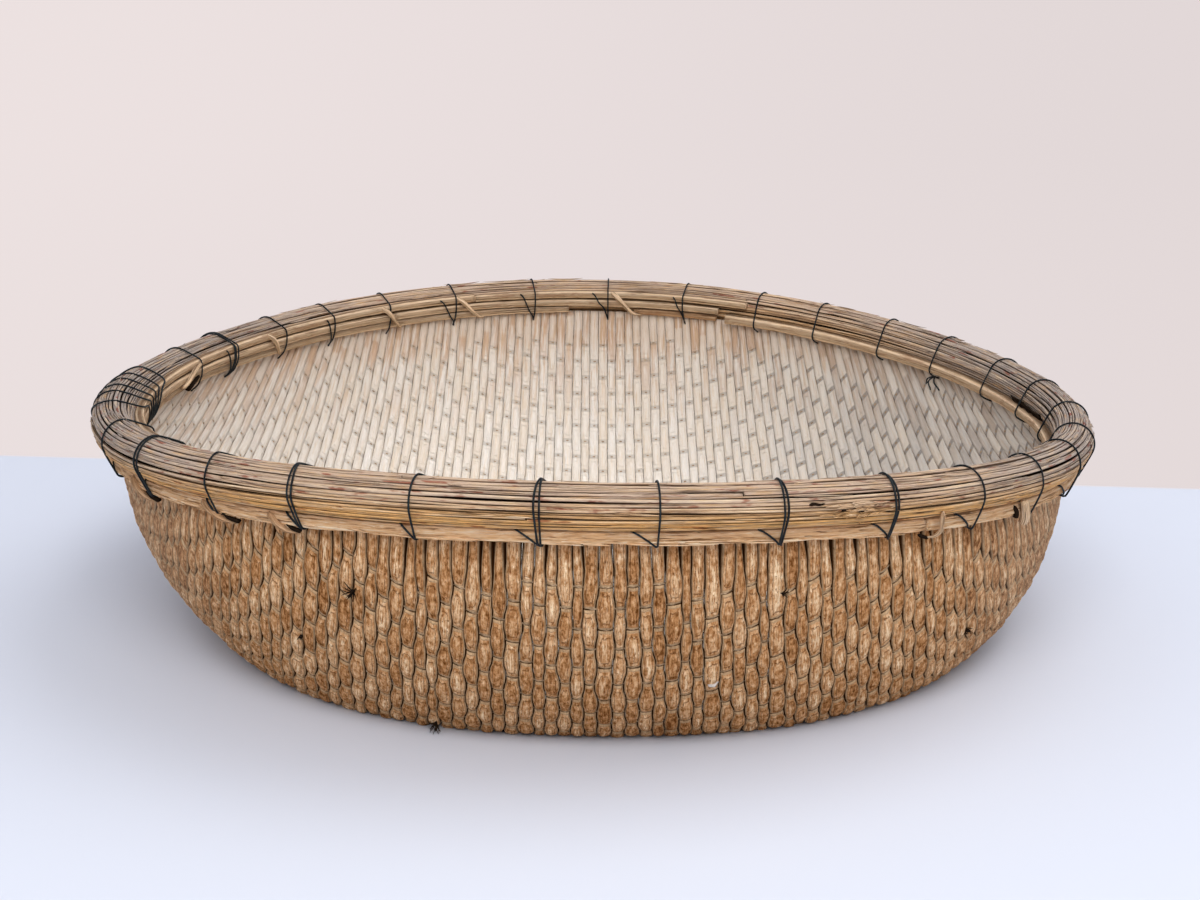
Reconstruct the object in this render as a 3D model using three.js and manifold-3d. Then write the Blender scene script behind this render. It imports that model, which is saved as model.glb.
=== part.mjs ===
// Shallow round willow basket with a wire-bound rim. Millimetres, +Z up, standing on z = 0.
// Angles are in degrees and run anticlockwise from the right-hand end, seen from above, so the
// front is at 270. Around the rim a place is (angle, out, up): out and up are measured from the
// centre line of the rim bundle, out away from the middle of the basket.

import * as THREE from "three";
import { mergeVertices } from "three/addons/utils/BufferGeometryUtils.js";
import Module from "manifold-3d";

const wasm = await Module();
wasm.setup();

// Centre line of the rim bundle
const RIM_HALF_WIDTH = 340;
const RIM_HALF_DEPTH = 339;
const RIM_HEIGHT = 157;
const RIM_SADDLE_HEIGHT = 11;
const RIM_TILT_HEIGHT = 3;

// Rim bundle: a core inside a skin of split strips
const BUNDLE_RADIUS = 13.6;
const STRIP_COUNT = 14;
const STRIP_THICKNESS = 2.6;
const STRIP_SIDE_GAP = 0.5;
const STRIP_END_GAP = 1.2;
const STRIP_JOINT_TURN = 137.5;
const CORE_SIDES = 10;
const CORE_JOINT_ANGLE = 184;

// Lap joint of the bundle at the left end, where it is thicker
const LAP_ANGLE = 183;
const LAP_HALF_ANGLE = 20;
const LAP_SWELL = 2.2;

// Woven bowl
const WALL_INSET = 3.5;
const WALL_THICKNESS = 7;
const BASE_HALF_WIDTH = 266;
const BASE_HALF_DEPTH = 268;
const BASE_SHIFT = 6;
const BASE_SQUARENESS = 2.25;
const WALL_BELLY = 2.55;
const WALL_ROUNDING = 1.3;
const WALL_ROUNDING_CHANGE = 0.15;
const FLOOR_EDGE_INSET = 3;
const FLOOR_EDGE_HEIGHT = 0.15;
const WEAVE_RELIEF = 3;
const WEAVE_FIRST_LEVEL = 0.03;
const WEAVE_LAST_LEVEL = 0.85;

// Outer hoop laths
const HOOP_WIDTH = 8.2;
const HOOP_HEIGHT = 7.5;
const HOOP_CORNER = 1.6;
const HOOP_JOINTS = [91, 206, 305, 321];
const HOOP_END_GAP = 2.5;

// Inner hoop rods
const THIN_ROD_RADIUS = 3.5;
const THICK_ROD_RADIUS = 4.5;
const FIRST_THIN_ROD_TURN = 168;
const THICK_ROD_TURN = 215;
const ROD_SIDES = 6;
const ROD_END_GAP = 1;
const ROD_ENDS = {
  high: [66, 109, 231, 268],
  middle: [70.5, 122, 228, 269.5],
  low: [94, 271],
  thick: [272.5, 429.5],
};

// Binding wire
const WIRE_RADIUS = 0.8;
const WIRE_HOLE_RADIUS = 2.2;
const WIRE_HOLE_SIDES = 6;
const TIE_ANGLES = [
  8, 19.5, 32, 43, 54.5, 64.5, 76, 88, 99.5, 112, 123, 133, 142.5, 153.5, 162, 205, 216.5, 229,
  240.5, 253, 265, 276, 288, 300, 311, 322, 333, 343.5, 356,
];
const TIE_STEPS_PER_TURN = 14;
const TIE_SIDES = 4;
const TIE_TAIL_LEAN = 9;
const TIE_DRIFT = 3;
const TIE_TAIL_DIRECTION = -18;
const TIE_END_DIRECTION = -50;
const WALL_DIRECTION = -90;

// Lashing over the lap joint
const LASHING_TURNS = 6;
const LASHING_ANGLE = 183;
const LASHING_TOP_PITCH = 17;
const LASHING_HOLE_PITCH = 6;
const LASHING_HOLE_SHARE = 0.09;
const LASHING_STEPS_PER_TURN = 24;
const LASHING_SIDES = 6;
const LASHING_LEAD = 2;
const GAP_POINTS_PER_STEP = 4;
const GAP_LEAST_DIAMETERS = 6;

// Clearances between touching pieces
const SEAT_GAP = 0.35;
const WIRE_CLEARANCE = 0.75;

// Fineness of the rim and of the bowl
const RIM_STATIONS = 40;
const WEAVE_COLUMNS_PER_STATION = 4;
const WALL_LEVELS = [
  0, 0.015, 0.055, 0.115, 0.185, 0.265, 0.35, 0.435, 0.525, 0.615, 0.71, 0.805, 0.9, 1,
];

const TURN = 360;
const HALF_TURN = 180;
const TINY = 1e-6;
const CORNERS_PER_QUAD = 6;
const LEAST_STEP = 0.05;
const MERGE_DISTANCE = 0.001;
const SLOPE_LEVEL_STEP = 0.002;
const SLOPE_ANGLE_STEP = 0.2;
const radians = THREE.MathUtils.degToRad;
const degrees = THREE.MathUtils.radToDeg;

// Finishes
function finish(name, color, roughness, metalness = 0) {
  const material = new THREE.MeshStandardMaterial({ color, roughness, metalness });
  material.name = name;
  return material;
}

const peeledWillow = finish("peeled_willow", 0xa5835a, 0.75);
const weatheredStrip = finish("weathered_strip", 0x94785c, 0.8);
const paleLath = finish("pale_lath", 0xb89a6c, 0.7);
const darkCore = finish("bundle_core", 0x5c4833, 0.9);
const darkWire = finish("dark_wire", 0x23303a, 0.45, 0.8);

// Rim places

function rimCentreHeight(angle) {
  const a = radians(angle);
  return RIM_HEIGHT - RIM_SADDLE_HEIGHT * Math.cos(2 * a) - RIM_TILT_HEIGHT * Math.cos(a);
}

// Extra radius of the bundle over its lap joint, fading out to both sides.
function lapSwell(angle) {
  const off = Math.abs(((angle - LAP_ANGLE + HALF_TURN + TURN) % TURN) - HALF_TURN);
  if (off >= LAP_HALF_ANGLE) return 0;
  return LAP_SWELL * Math.cos((off / LAP_HALF_ANGLE) * Math.PI * 0.5) ** 2;
}

function stationPoint(station, out, up) {
  const angle = (station * TURN) / RIM_STATIONS;
  const a = radians(angle);
  return new THREE.Vector3(
    (RIM_HALF_WIDTH + out) * Math.cos(a),
    (RIM_HALF_DEPTH + out) * Math.sin(a),
    rimCentreHeight(angle) + up,
  );
}

// A place by the rim. The rim's pieces share one ring of stations and are straight between two.
// sectionAt(angle) gives the place's out and up at a station.
function rimPlace(angle, sectionAt) {
  const station = (angle * RIM_STATIONS) / TURN;
  const before = Math.floor(station + TINY);
  const share = Math.max(station - before, 0);
  const corner = (s) => {
    const section = sectionAt((s * TURN) / RIM_STATIONS);
    return stationPoint(s, section.x, section.y);
  };
  return share < TINY ? corner(before) : corner(before).lerp(corner(before + 1), share);
}

function rimPoint(angle, out, up) {
  return rimPlace(angle, () => ({ x: out, y: up }));
}

// The angle that lies a length in millimetres further round the rim.
function along(angle, length) {
  return angle + degrees(length / (0.5 * (RIM_HALF_WIDTH + RIM_HALF_DEPTH)));
}

// Solid geometry

// A section shape, drawn as x = out and y = up, carried clockwise round the rim from one angle
// down to another. follow(x, y, swell) moves a point of the section with the swollen bundle.
function rimPiece(shape, fromAngle, toAngle, follow) {
  const pitch = TURN / RIM_STATIONS;
  const angles = [toAngle];
  for (let a = Math.ceil(toAngle / pitch) * pitch; a < fromAngle - LEAST_STEP; a += pitch) {
    if (a > toAngle + LEAST_STEP) angles.push(a);
  }
  angles.push(fromAngle);
  angles.reverse();
  const steps = angles.length - 1;
  const geometry = new THREE.ExtrudeGeometry(shape, { depth: steps, steps, bevelEnabled: false });
  const position = geometry.getAttribute("position");
  for (let i = 0; i < position.count; i++) {
    const x = position.getX(i);
    const y = position.getY(i);
    const angle = angles[Math.round(position.getZ(i))];
    const p = rimPlace(angle, (a) => follow(x, y, lapSwell(a)));
    position.setXYZ(i, p.x, p.y, p.z);
  }
  geometry.computeVertexNormals();
  return geometry;
}

function polygonShape(radius, sides, x = 0, y = 0) {
  const corners = [];
  for (let i = 0; i < sides; i++) {
    const a = ((i + 0.5) * 2 * Math.PI) / sides;
    corners.push(new THREE.Vector2(x + radius * Math.cos(a), y + radius * Math.sin(a)));
  }
  return new THREE.Shape(corners);
}

// A curve whose parameter runs evenly from point to point, so that a tube has one ring at each.
class StationCurve extends THREE.CatmullRomCurve3 {
  getUtoTmapping(u) {
    return u;
  }
}

function wireTube(points, sides) {
  const path = new StationCurve(points, false, "centripetal");
  return new THREE.ExtrudeGeometry(polygonShape(WIRE_RADIUS, sides), {
    extrudePath: path,
    steps: points.length - 1,
    bevelEnabled: false,
  });
}

function toSolid(geometry) {
  const bare = new THREE.BufferGeometry();
  bare.setAttribute("position", geometry.getAttribute("position"));
  if (geometry.index) bare.setIndex(geometry.index);
  const merged = mergeVertices(bare, MERGE_DISTANCE);
  return new wasm.Manifold(
    new wasm.Mesh({
      numProp: 3,
      vertProperties: merged.attributes.position.array,
      triVerts: new Uint32Array(merged.index.array),
    }),
  );
}

function fromSolid(solid) {
  const mesh = solid.getMesh();
  const geometry = new THREE.BufferGeometry();
  geometry.setAttribute("position", new THREE.BufferAttribute(mesh.vertProperties, 3));
  geometry.setIndex(new THREE.BufferAttribute(mesh.triVerts, 1));
  geometry.computeVertexNormals();
  return geometry;
}

const basket = new THREE.Group();
basket.name = "basket";

function addPiece(name, geometry, material, parent = basket) {
  const mesh = new THREE.Mesh(geometry, material);
  mesh.name = name;
  parent.add(mesh);
  return mesh;
}

// Section of the rim, worked out from the bundle

const hoopInner = SEAT_GAP - WALL_INSET;
const hoopOuter = hoopInner + HOOP_WIDTH;
const hoopTop = -(BUNDLE_RADIUS + SEAT_GAP);
const hoopBottom = hoopTop - HOOP_HEIGHT;
const wallInnerFace = -(WALL_INSET + WALL_THICKNESS);
const wireOffset = WIRE_RADIUS + WIRE_CLEARANCE;
const wireHoleUp = hoopBottom - wireOffset;

function layRod(radius, turn) {
  const reach = BUNDLE_RADIUS + radius + SEAT_GAP;
  const a = radians(turn);
  return { radius, dx: Math.cos(a), dy: Math.sin(a), reach };
}

const thinReach = BUNDLE_RADIUS + THIN_ROD_RADIUS + SEAT_GAP;
const thinRodStep = degrees(2 * Math.asin((THIN_ROD_RADIUS + 0.5 * SEAT_GAP) / thinReach));

// The rods of the inner hoop, each with its ends and joints and the way it lies round the bundle.
const innerRods = [
  { name: "high", ...layRod(THIN_ROD_RADIUS, FIRST_THIN_ROD_TURN) },
  { name: "middle", ...layRod(THIN_ROD_RADIUS, FIRST_THIN_ROD_TURN + thinRodStep) },
  { name: "low", ...layRod(THIN_ROD_RADIUS, FIRST_THIN_ROD_TURN + 2 * thinRodStep) },
  { name: "thick", ...layRod(THICK_ROD_RADIUS, THICK_ROD_TURN) },
].map((rod) => {
  const ends = ROD_ENDS[rod.name];
  return { ...rod, ends, from: ends[0], to: ends[ends.length - 1] };
});

// Bundle core and strips

function withBundle(x, y, swell) {
  const scale = 1 + swell / BUNDLE_RADIUS;
  return { x: x * scale, y: y * scale };
}

function buildBundle() {
  const stripInner = BUNDLE_RADIUS - STRIP_THICKNESS;
  const pitch = TURN / STRIP_COUNT;
  const middleRadius = BUNDLE_RADIUS - 0.5 * STRIP_THICKNESS;
  const halfWidth = radians(0.5 * (pitch - degrees(STRIP_SIDE_GAP / middleRadius)));
  const coreRadius = stripInner * Math.cos(halfWidth) - SEAT_GAP;
  const endGap = along(0, STRIP_END_GAP);

  const coreEnd = CORE_JOINT_ANGLE + TURN - endGap;
  const core = rimPiece(polygonShape(coreRadius, CORE_SIDES), coreEnd, CORE_JOINT_ANGLE, withBundle);
  addPiece("rim_core", core, darkCore);

  const strips = new THREE.Group();
  strips.name = "rim_strips";
  basket.add(strips);
  for (let k = 0; k < STRIP_COUNT; k++) {
    const turn = radians(90 + k * pitch);
    const corner = (radius, side) =>
      new THREE.Vector2(radius * Math.cos(turn + side), radius * Math.sin(turn + side));
    const section = new THREE.Shape([
      corner(stripInner, -halfWidth),
      corner(BUNDLE_RADIUS, -halfWidth),
      corner(BUNDLE_RADIUS, halfWidth),
      corner(stripInner, halfWidth),
    ]);
    const joint = (CORE_JOINT_ANGLE + k * STRIP_JOINT_TURN) % TURN;
    const strip = rimPiece(section, joint + TURN - endGap, joint, withBundle);
    addPiece("rim_strip_" + String(k + 1).padStart(2, "0"), strip, weatheredStrip, strips);
  }
}

// Hoops

function buildHoops() {
  const lath = new THREE.Shape([
    new THREE.Vector2(hoopInner, hoopBottom),
    new THREE.Vector2(hoopOuter - HOOP_CORNER, hoopBottom),
    new THREE.Vector2(hoopOuter, hoopBottom + HOOP_CORNER),
    new THREE.Vector2(hoopOuter, hoopTop - HOOP_CORNER),
    new THREE.Vector2(hoopOuter - HOOP_CORNER, hoopTop),
    new THREE.Vector2(hoopInner, hoopTop),
  ]);
  const halfGap = along(0, 0.5 * HOOP_END_GAP);
  const names = ["outer_hoop_left", "outer_hoop_front", "outer_hoop_short", "outer_hoop_back"];
  names.forEach((name, k) => {
    const start = HOOP_JOINTS[k];
    const next = HOOP_JOINTS[(k + 1) % HOOP_JOINTS.length];
    const end = next > start ? next : next + TURN;
    const underBundle = (x, y, swell) => ({ x, y: y - swell });
    addPiece(name, rimPiece(lath, end - halfGap, start + halfGap, underBundle), paleLath);
  });

  const halfRodGap = along(0, 0.5 * ROD_END_GAP);
  for (const rod of innerRods) {
    const section = polygonShape(rod.radius, ROD_SIDES, rod.dx * rod.reach, rod.dy * rod.reach);
    const besideBundle = (x, y, swell) => ({ x: x + rod.dx * swell, y: y + rod.dy * swell });
    for (let k = 1; k < rod.ends.length; k++) {
      const to = rod.ends[k] - halfRodGap;
      const from = rod.ends[k - 1] + halfRodGap;
      const suffix = rod.ends.length > 2 ? "_" + k : "";
      const name = "inner_hoop_" + rod.name + suffix;
      addPiece(name, rimPiece(section, to, from, besideBundle), paleLath);
    }
  }
}

// Binding wire

function rodCovers(rod, angle) {
  const turned = ((((angle - rod.from) % TURN) + TURN) % TURN) + rod.from;
  return turned <= rod.to;
}

// Circles that a wire goes round at one angle: the bundle, the rods, and corners of hoop and wall.
function boundCircles(angle) {
  const swell = lapSwell(angle);
  const circles = [
    { x: 0, y: 0, r: BUNDLE_RADIUS + swell },
    { x: hoopOuter - HOOP_CORNER, y: hoopBottom + HOOP_CORNER - swell, r: HOOP_CORNER },
    { x: wallInnerFace, y: hoopBottom - swell, r: 0 },
  ];
  for (const rod of innerRods) {
    if (!rodCovers(rod, angle)) continue;
    const reach = rod.reach + swell;
    circles.push({ x: rod.dx * reach, y: rod.dy * reach, r: rod.radius });
  }
  return circles;
}

// Where a wire drawn tight round those circles lies, seen in one direction from inside them.
function tightPoint(angle, direction) {
  const d = new THREE.Vector2(Math.cos(radians(direction)), Math.sin(radians(direction)));
  let best = null;
  let furthest = -Infinity;
  for (const c of boundCircles(angle)) {
    const reach = c.x * d.x + c.y * d.y + c.r;
    if (reach > furthest) {
      furthest = reach;
      best = new THREE.Vector2(c.x, c.y).addScaledVector(d, c.r + wireOffset);
    }
  }
  return rimPoint(angle, best.x, best.y);
}

// One tie: a tail above the hoop, down and through the wall, up inside, over, and down again.
function tiePoints(angle) {
  const lastDirection = TIE_END_DIRECTION - TURN;
  const steps = Math.round(((TIE_TAIL_DIRECTION - lastDirection) * TIE_STEPS_PER_TURN) / TURN);
  const points = [];
  for (let i = 0; i <= steps; i++) {
    const direction = THREE.MathUtils.lerp(TIE_TAIL_DIRECTION, lastDirection, i / steps);
    const past = direction - WALL_DIRECTION;
    const offset =
      past > 0
        ? (-TIE_TAIL_LEAN * past) / (TIE_TAIL_DIRECTION - WALL_DIRECTION)
        : (-TIE_DRIFT * past) / TURN;
    points.push(tightPoint(along(angle, offset), direction));
  }
  return points;
}

// The lashing: turns that lie close where they go through the wall and fan out over the bundle.
function lashingHoleAngle(turn) {
  return along(LASHING_ANGLE, (turn - 0.5 * LASHING_TURNS) * LASHING_HOLE_PITCH);
}

function lashingPoints() {
  const start = lashingHoleAngle(0);
  const end = lashingHoleAngle(LASHING_TURNS);
  const holeUp = (angle) => wireHoleUp - lapSwell(angle);
  const points = [rimPoint(start, LASHING_LEAD - WALL_INSET, holeUp(start))];
  points.push(rimPoint(start, -WALL_INSET, holeUp(start)));
  const steps = LASHING_TURNS * LASHING_STEPS_PER_TURN;
  for (let i = 1; i < steps; i++) {
    const turns = i / LASHING_STEPS_PER_TURN;
    const past = ((turns % 1) - LASHING_HOLE_SHARE) / (1 - 2 * LASHING_HOLE_SHARE);
    const spread = Math.sin(Math.PI * THREE.MathUtils.clamp(past, 0, 1)) ** 2;
    const pitch = THREE.MathUtils.lerp(LASHING_HOLE_PITCH, LASHING_TOP_PITCH, spread);
    const place = along(LASHING_ANGLE, (turns - 0.5 * LASHING_TURNS) * pitch);
    points.push(tightPoint(place, WALL_DIRECTION - turns * TURN));
  }
  points.push(rimPoint(end, -WALL_INSET, holeUp(end)));
  points.push(rimPoint(end, -WALL_INSET - LASHING_LEAD, holeUp(end)));
  return points;
}

// Least gap between two stretches of one wire that are more than a few diameters apart along it.
function leastSelfGap(points, radius) {
  const curve = new StationCurve(points, false, "centripetal");
  const fine = curve.getPoints(points.length * GAP_POINTS_PER_STEP);
  const lengths = [0];
  for (let i = 1; i < fine.length; i++) {
    lengths.push(lengths[i - 1] + fine[i].distanceTo(fine[i - 1]));
  }
  let least = Infinity;
  for (let i = 0; i < fine.length; i++) {
    for (let j = i + 1; j < fine.length; j++) {
      if (lengths[j] - lengths[i] < GAP_LEAST_DIAMETERS * 2 * radius) continue;
      least = Math.min(least, fine[i].distanceTo(fine[j]) - 2 * radius);
    }
  }
  return least;
}

function buildWires() {
  const ties = new THREE.Group();
  ties.name = "wire_ties";
  basket.add(ties);
  TIE_ANGLES.forEach((angle, k) => {
    const name = "wire_tie_" + String(k + 1).padStart(2, "0");
    addPiece(name, wireTube(tiePoints(angle), TIE_SIDES), darkWire, ties);
  });
  const lashing = lashingPoints();
  addPiece("end_lashing", wireTube(lashing, LASHING_SIDES), darkWire);
  console.log("end_lashing least gap to itself, mm: " + leastSelfGap(lashing, WIRE_RADIUS).toFixed(2));
}

// Woven bowl

// A point of the outer face: level 0 at the edge of the flat base, 1 under the rim bundle.
function bowlPoint(angle, level) {
  const a = radians(angle);
  const c = Math.cos(a);
  const s = Math.sin(a);
  const rimUp = rimCentreHeight(angle);
  const top = rimUp + hoopTop - lapSwell(angle);
  const height = top * level;
  const rounding = WALL_ROUNDING + WALL_ROUNDING_CHANGE * c;
  const grow = (1 - (1 - height / rimUp) ** WALL_BELLY) ** (1 / rounding);
  const power = 2 / THREE.MathUtils.lerp(BASE_SQUARENESS, 2, grow);
  const baseX = BASE_HALF_WIDTH * Math.sign(c) * Math.abs(c) ** power + BASE_SHIFT;
  const baseY = BASE_HALF_DEPTH * Math.sign(s) * Math.abs(s) ** power;
  return new THREE.Vector3(
    THREE.MathUtils.lerp(baseX, (RIM_HALF_WIDTH - WALL_INSET) * c, grow),
    THREE.MathUtils.lerp(baseY, (RIM_HALF_DEPTH - WALL_INSET) * s, grow),
    height,
  );
}

// The same point moved in by the wall's thickness, square to the outer face. The edge of the
// inside floor lies a little further in, so that the wall rises outwards from it all round.
function bowlInnerPoint(angle, level) {
  const point = bowlPoint(angle, level);
  const left = bowlPoint(angle - SLOPE_ANGLE_STEP, level);
  const round = bowlPoint(angle + SLOPE_ANGLE_STEP, level).sub(left);
  if (level === 0) {
    const outward = new THREE.Vector3(round.y, -round.x, 0).normalize();
    return point.addScaledVector(outward, -FLOOR_EDGE_INSET).setZ(WALL_THICKNESS);
  }
  const low = Math.max(level - SLOPE_LEVEL_STEP, 0);
  const high = Math.min(level + SLOPE_LEVEL_STEP, 1);
  const rise = bowlPoint(angle, high).sub(bowlPoint(angle, low));
  const outward = round.cross(rise).normalize();
  point.addScaledVector(outward, -WALL_THICKNESS);
  const least = WALL_THICKNESS + FLOOR_EDGE_HEIGHT;
  point.z = level === 1 ? bowlPoint(angle, 1).z : Math.max(point.z, least);
  return point;
}

// A point of one face of the wall, on the straight run between two stations.
function facePoint(column, level, pointAt) {
  const station = Math.floor(column / WEAVE_COLUMNS_PER_STATION);
  const from = pointAt((station * TURN) / RIM_STATIONS, level);
  const to = pointAt(((station + 1) * TURN) / RIM_STATIONS, level);
  return from.lerp(to, column / WEAVE_COLUMNS_PER_STATION - station);
}

// A point of the bowl's skin. Rows run from the middle of the base up the outer face, over the
// edge, and down the inner face to the middle of the floor. The weave stands out in staggered
// bumps, and where one face stands out the other is drawn in, so the wall is a wavy sheet.
function skinPoint(column, row) {
  const levels = WALL_LEVELS.length;
  if (row === 0) return new THREE.Vector3(BASE_SHIFT, 0, 0);
  if (row > 2 * levels) return new THREE.Vector3(BASE_SHIFT, 0, WALL_THICKNESS);
  const outside = row <= levels;
  const level = WALL_LEVELS[outside ? row - 1 : 2 * levels - row];
  const point = facePoint(column, level, outside ? bowlPoint : bowlInnerPoint);
  const woven = level > WEAVE_FIRST_LEVEL && level < WEAVE_LAST_LEVEL;
  if (!woven || (column + row) % 2 === 0) return point;
  const behind = facePoint(column, level, outside ? bowlInnerPoint : bowlPoint);
  return point.lerp(behind, WEAVE_RELIEF / WALL_THICKNESS);
}

// Splits each quad of the skin from dent to dent, so that each bump is a pyramid.
function splitAtDents(shell, rows) {
  const index = shell.getIndex();
  for (let face = 0; face < index.count; face += CORNERS_PER_QUAD) {
    const [a, b, d, c] = index.array.slice(face, face + 4);
    const column = Math.floor(a / rows);
    if ((column + (a % rows)) % 2 === 1) index.array.set([a, b, c, a, c, d], face);
  }
}

function buildBowl() {
  const rows = 2 * WALL_LEVELS.length + 2;
  const columns = RIM_STATIONS * WEAVE_COLUMNS_PER_STATION;
  const profile = [];
  for (let j = 0; j < rows; j++) profile.push(new THREE.Vector2(j, j));
  const shell = new THREE.LatheGeometry(profile, columns);
  const position = shell.getAttribute("position");
  for (let i = 0; i <= columns; i++) {
    for (let j = 0; j < rows; j++) {
      const p = skinPoint(i % columns, j);
      position.setXYZ(i * rows + j, p.x, p.y, p.z);
    }
  }
  splitAtDents(shell, rows);
  let bowl = toSolid(shell);

  const holeAngles = [...TIE_ANGLES];
  for (let turn = 0; turn <= LASHING_TURNS; turn++) holeAngles.push(lashingHoleAngle(turn));
  for (const angle of holeAngles) {
    const up = wireHoleUp - lapSwell(angle);
    const outside = rimPoint(angle, WALL_THICKNESS, up);
    const inside = rimPoint(angle, wallInnerFace - WALL_THICKNESS, up);
    const length = outside.distanceTo(inside);
    const cutter = new THREE.CylinderGeometry(
      WIRE_HOLE_RADIUS,
      WIRE_HOLE_RADIUS,
      length,
      WIRE_HOLE_SIDES,
    );
    const middle = outside.clone().lerp(inside, 0.5);
    const aim = outside.clone().sub(inside).normalize();
    const turnTo = new THREE.Quaternion().setFromUnitVectors(new THREE.Vector3(0, 1, 0), aim);
    cutter.applyQuaternion(turnTo).translate(middle.x, middle.y, middle.z);
    bowl = bowl.subtract(toSolid(cutter));
  }
  addPiece("woven_bowl", fromSolid(bowl), peeledWillow);
}

buildBowl();
buildBundle();
buildHoops();
buildWires();

export default basket;
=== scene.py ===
"""A shallow harvest basket of peeled willow, whose edge is a bundle of strips bound with wire.

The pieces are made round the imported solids. Sizes in this file are in millimetres and angles in
degrees, anticlockwise from the right-hand end as seen from above, and the meshes are in metres.
"""

import logging
import math
from dataclasses import dataclass, field
from enum import Enum, IntEnum
from typing import Any, Sequence

import bmesh
import bpy
import numpy as np
from mathutils import Matrix, Vector


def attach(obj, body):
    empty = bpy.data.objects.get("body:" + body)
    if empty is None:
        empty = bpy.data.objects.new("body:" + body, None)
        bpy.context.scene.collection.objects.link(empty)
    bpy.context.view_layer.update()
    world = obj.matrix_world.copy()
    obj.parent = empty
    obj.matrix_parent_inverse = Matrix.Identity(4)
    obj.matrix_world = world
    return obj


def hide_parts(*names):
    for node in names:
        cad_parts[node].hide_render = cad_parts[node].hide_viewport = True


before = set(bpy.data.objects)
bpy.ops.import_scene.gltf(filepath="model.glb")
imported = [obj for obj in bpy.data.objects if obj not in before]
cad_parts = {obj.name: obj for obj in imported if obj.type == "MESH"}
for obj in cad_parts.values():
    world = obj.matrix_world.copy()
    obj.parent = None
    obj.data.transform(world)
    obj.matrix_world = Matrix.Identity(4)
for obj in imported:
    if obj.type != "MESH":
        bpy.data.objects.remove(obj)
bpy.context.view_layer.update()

MM = 0.001
WANDER_DRAWS = 512
WANDER_START = 64.0
Array = np.ndarray
Colour = tuple[float, float, float]
UPRIGHT = np.array([0.0, 0.0, 1.0])

log = logging.getLogger("basket")


def ease(value: Array) -> Array:
    """Return a smooth step from 0 to 1 of a value, held at both ends."""
    share = np.clip(value, 0.0, 1.0)
    return share * share * (3.0 - 2.0 * share)


def unit(vectors: Array) -> Array:
    """Return the vectors with their length made 1."""
    return vectors / np.maximum(np.linalg.norm(vectors, axis=-1, keepdims=True), 1e-12)


def between(first: Array, last: Array, share: Array) -> Array:
    """Return the values that lie a share of the way from the first to the last."""
    return first * (1.0 - share) + last * share


def signed_power(value: Array, power: Array) -> Array:
    """Return a power of a value's size, with the value's sign."""
    return np.sign(value) * np.abs(value) ** power


def lengths_along(path: Array) -> Array:
    """Return the length from the start of a line to each of its points."""
    return np.concatenate([[0.0], np.cumsum(np.linalg.norm(np.diff(path, axis=0), axis=1))])


def read_between(rows: Array, places: Array, wanted: Array) -> Array:
    """Return rows that are known at some places as they are at the wanted places."""
    return np.stack([np.interp(wanted, places, rows[:, i]) for i in range(3)], axis=1)


def wander(seed: int, places: Array, step: float) -> Array:
    """Return a smooth random value, from -1 to 1, that changes along a length.

    Args:
        seed: Which of the random lines it is.
        places: Where along the length, in the same unit as step.
        step: The length after which the value has changed fully.

    Returns:
        One value for each place.
    """
    draws = np.random.default_rng(seed).uniform(-1.0, 1.0, WANDER_DRAWS)
    spot = np.asarray(places, float) / step + WANDER_START
    low = np.floor(spot).astype(int)
    return between(draws[low % WANDER_DRAWS], draws[(low + 1) % WANDER_DRAWS], ease(spot - low))


class Slot(Enum):
    """The record's material slots."""

    WILLOW = "willow"
    STRIP = "strip"
    LATH = "lath"
    CORE = "core"
    WIRE = "wire"


class Seed(IntEnum):
    """Where the random values of each kind start."""

    LASHING = 5
    TIE = 40
    LATH_FRAYS = 60
    STRIPS = 71
    SPLINTERS = 72
    HOLLOW = 87
    TUFTS = 88
    WISPS = 89
    LATH_UP = 310
    LATH_OUT = 330
    LATH_WIDTH = 350
    LATH_HEIGHT = 370
    ROD = 900
    RAGGED = 977
    STRIP_TURN = 1300
    STRIP_FINE_TURN = 1700
    STRIP_REACH = 2100
    STRIP_FINE_REACH = 2500
    STRIP_WIDTH = 2900
    EDGE = 4100
    EDGE_FINE = 5200
    EDGE_LONG = 6300
    SLIT = 7400
    LEAN = 8500


def chance(seed: Seed, number: int = 0) -> np.random.Generator:
    """Return the random values of one kind for the thing with that number."""
    return np.random.default_rng(int(seed) + number)


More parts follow.
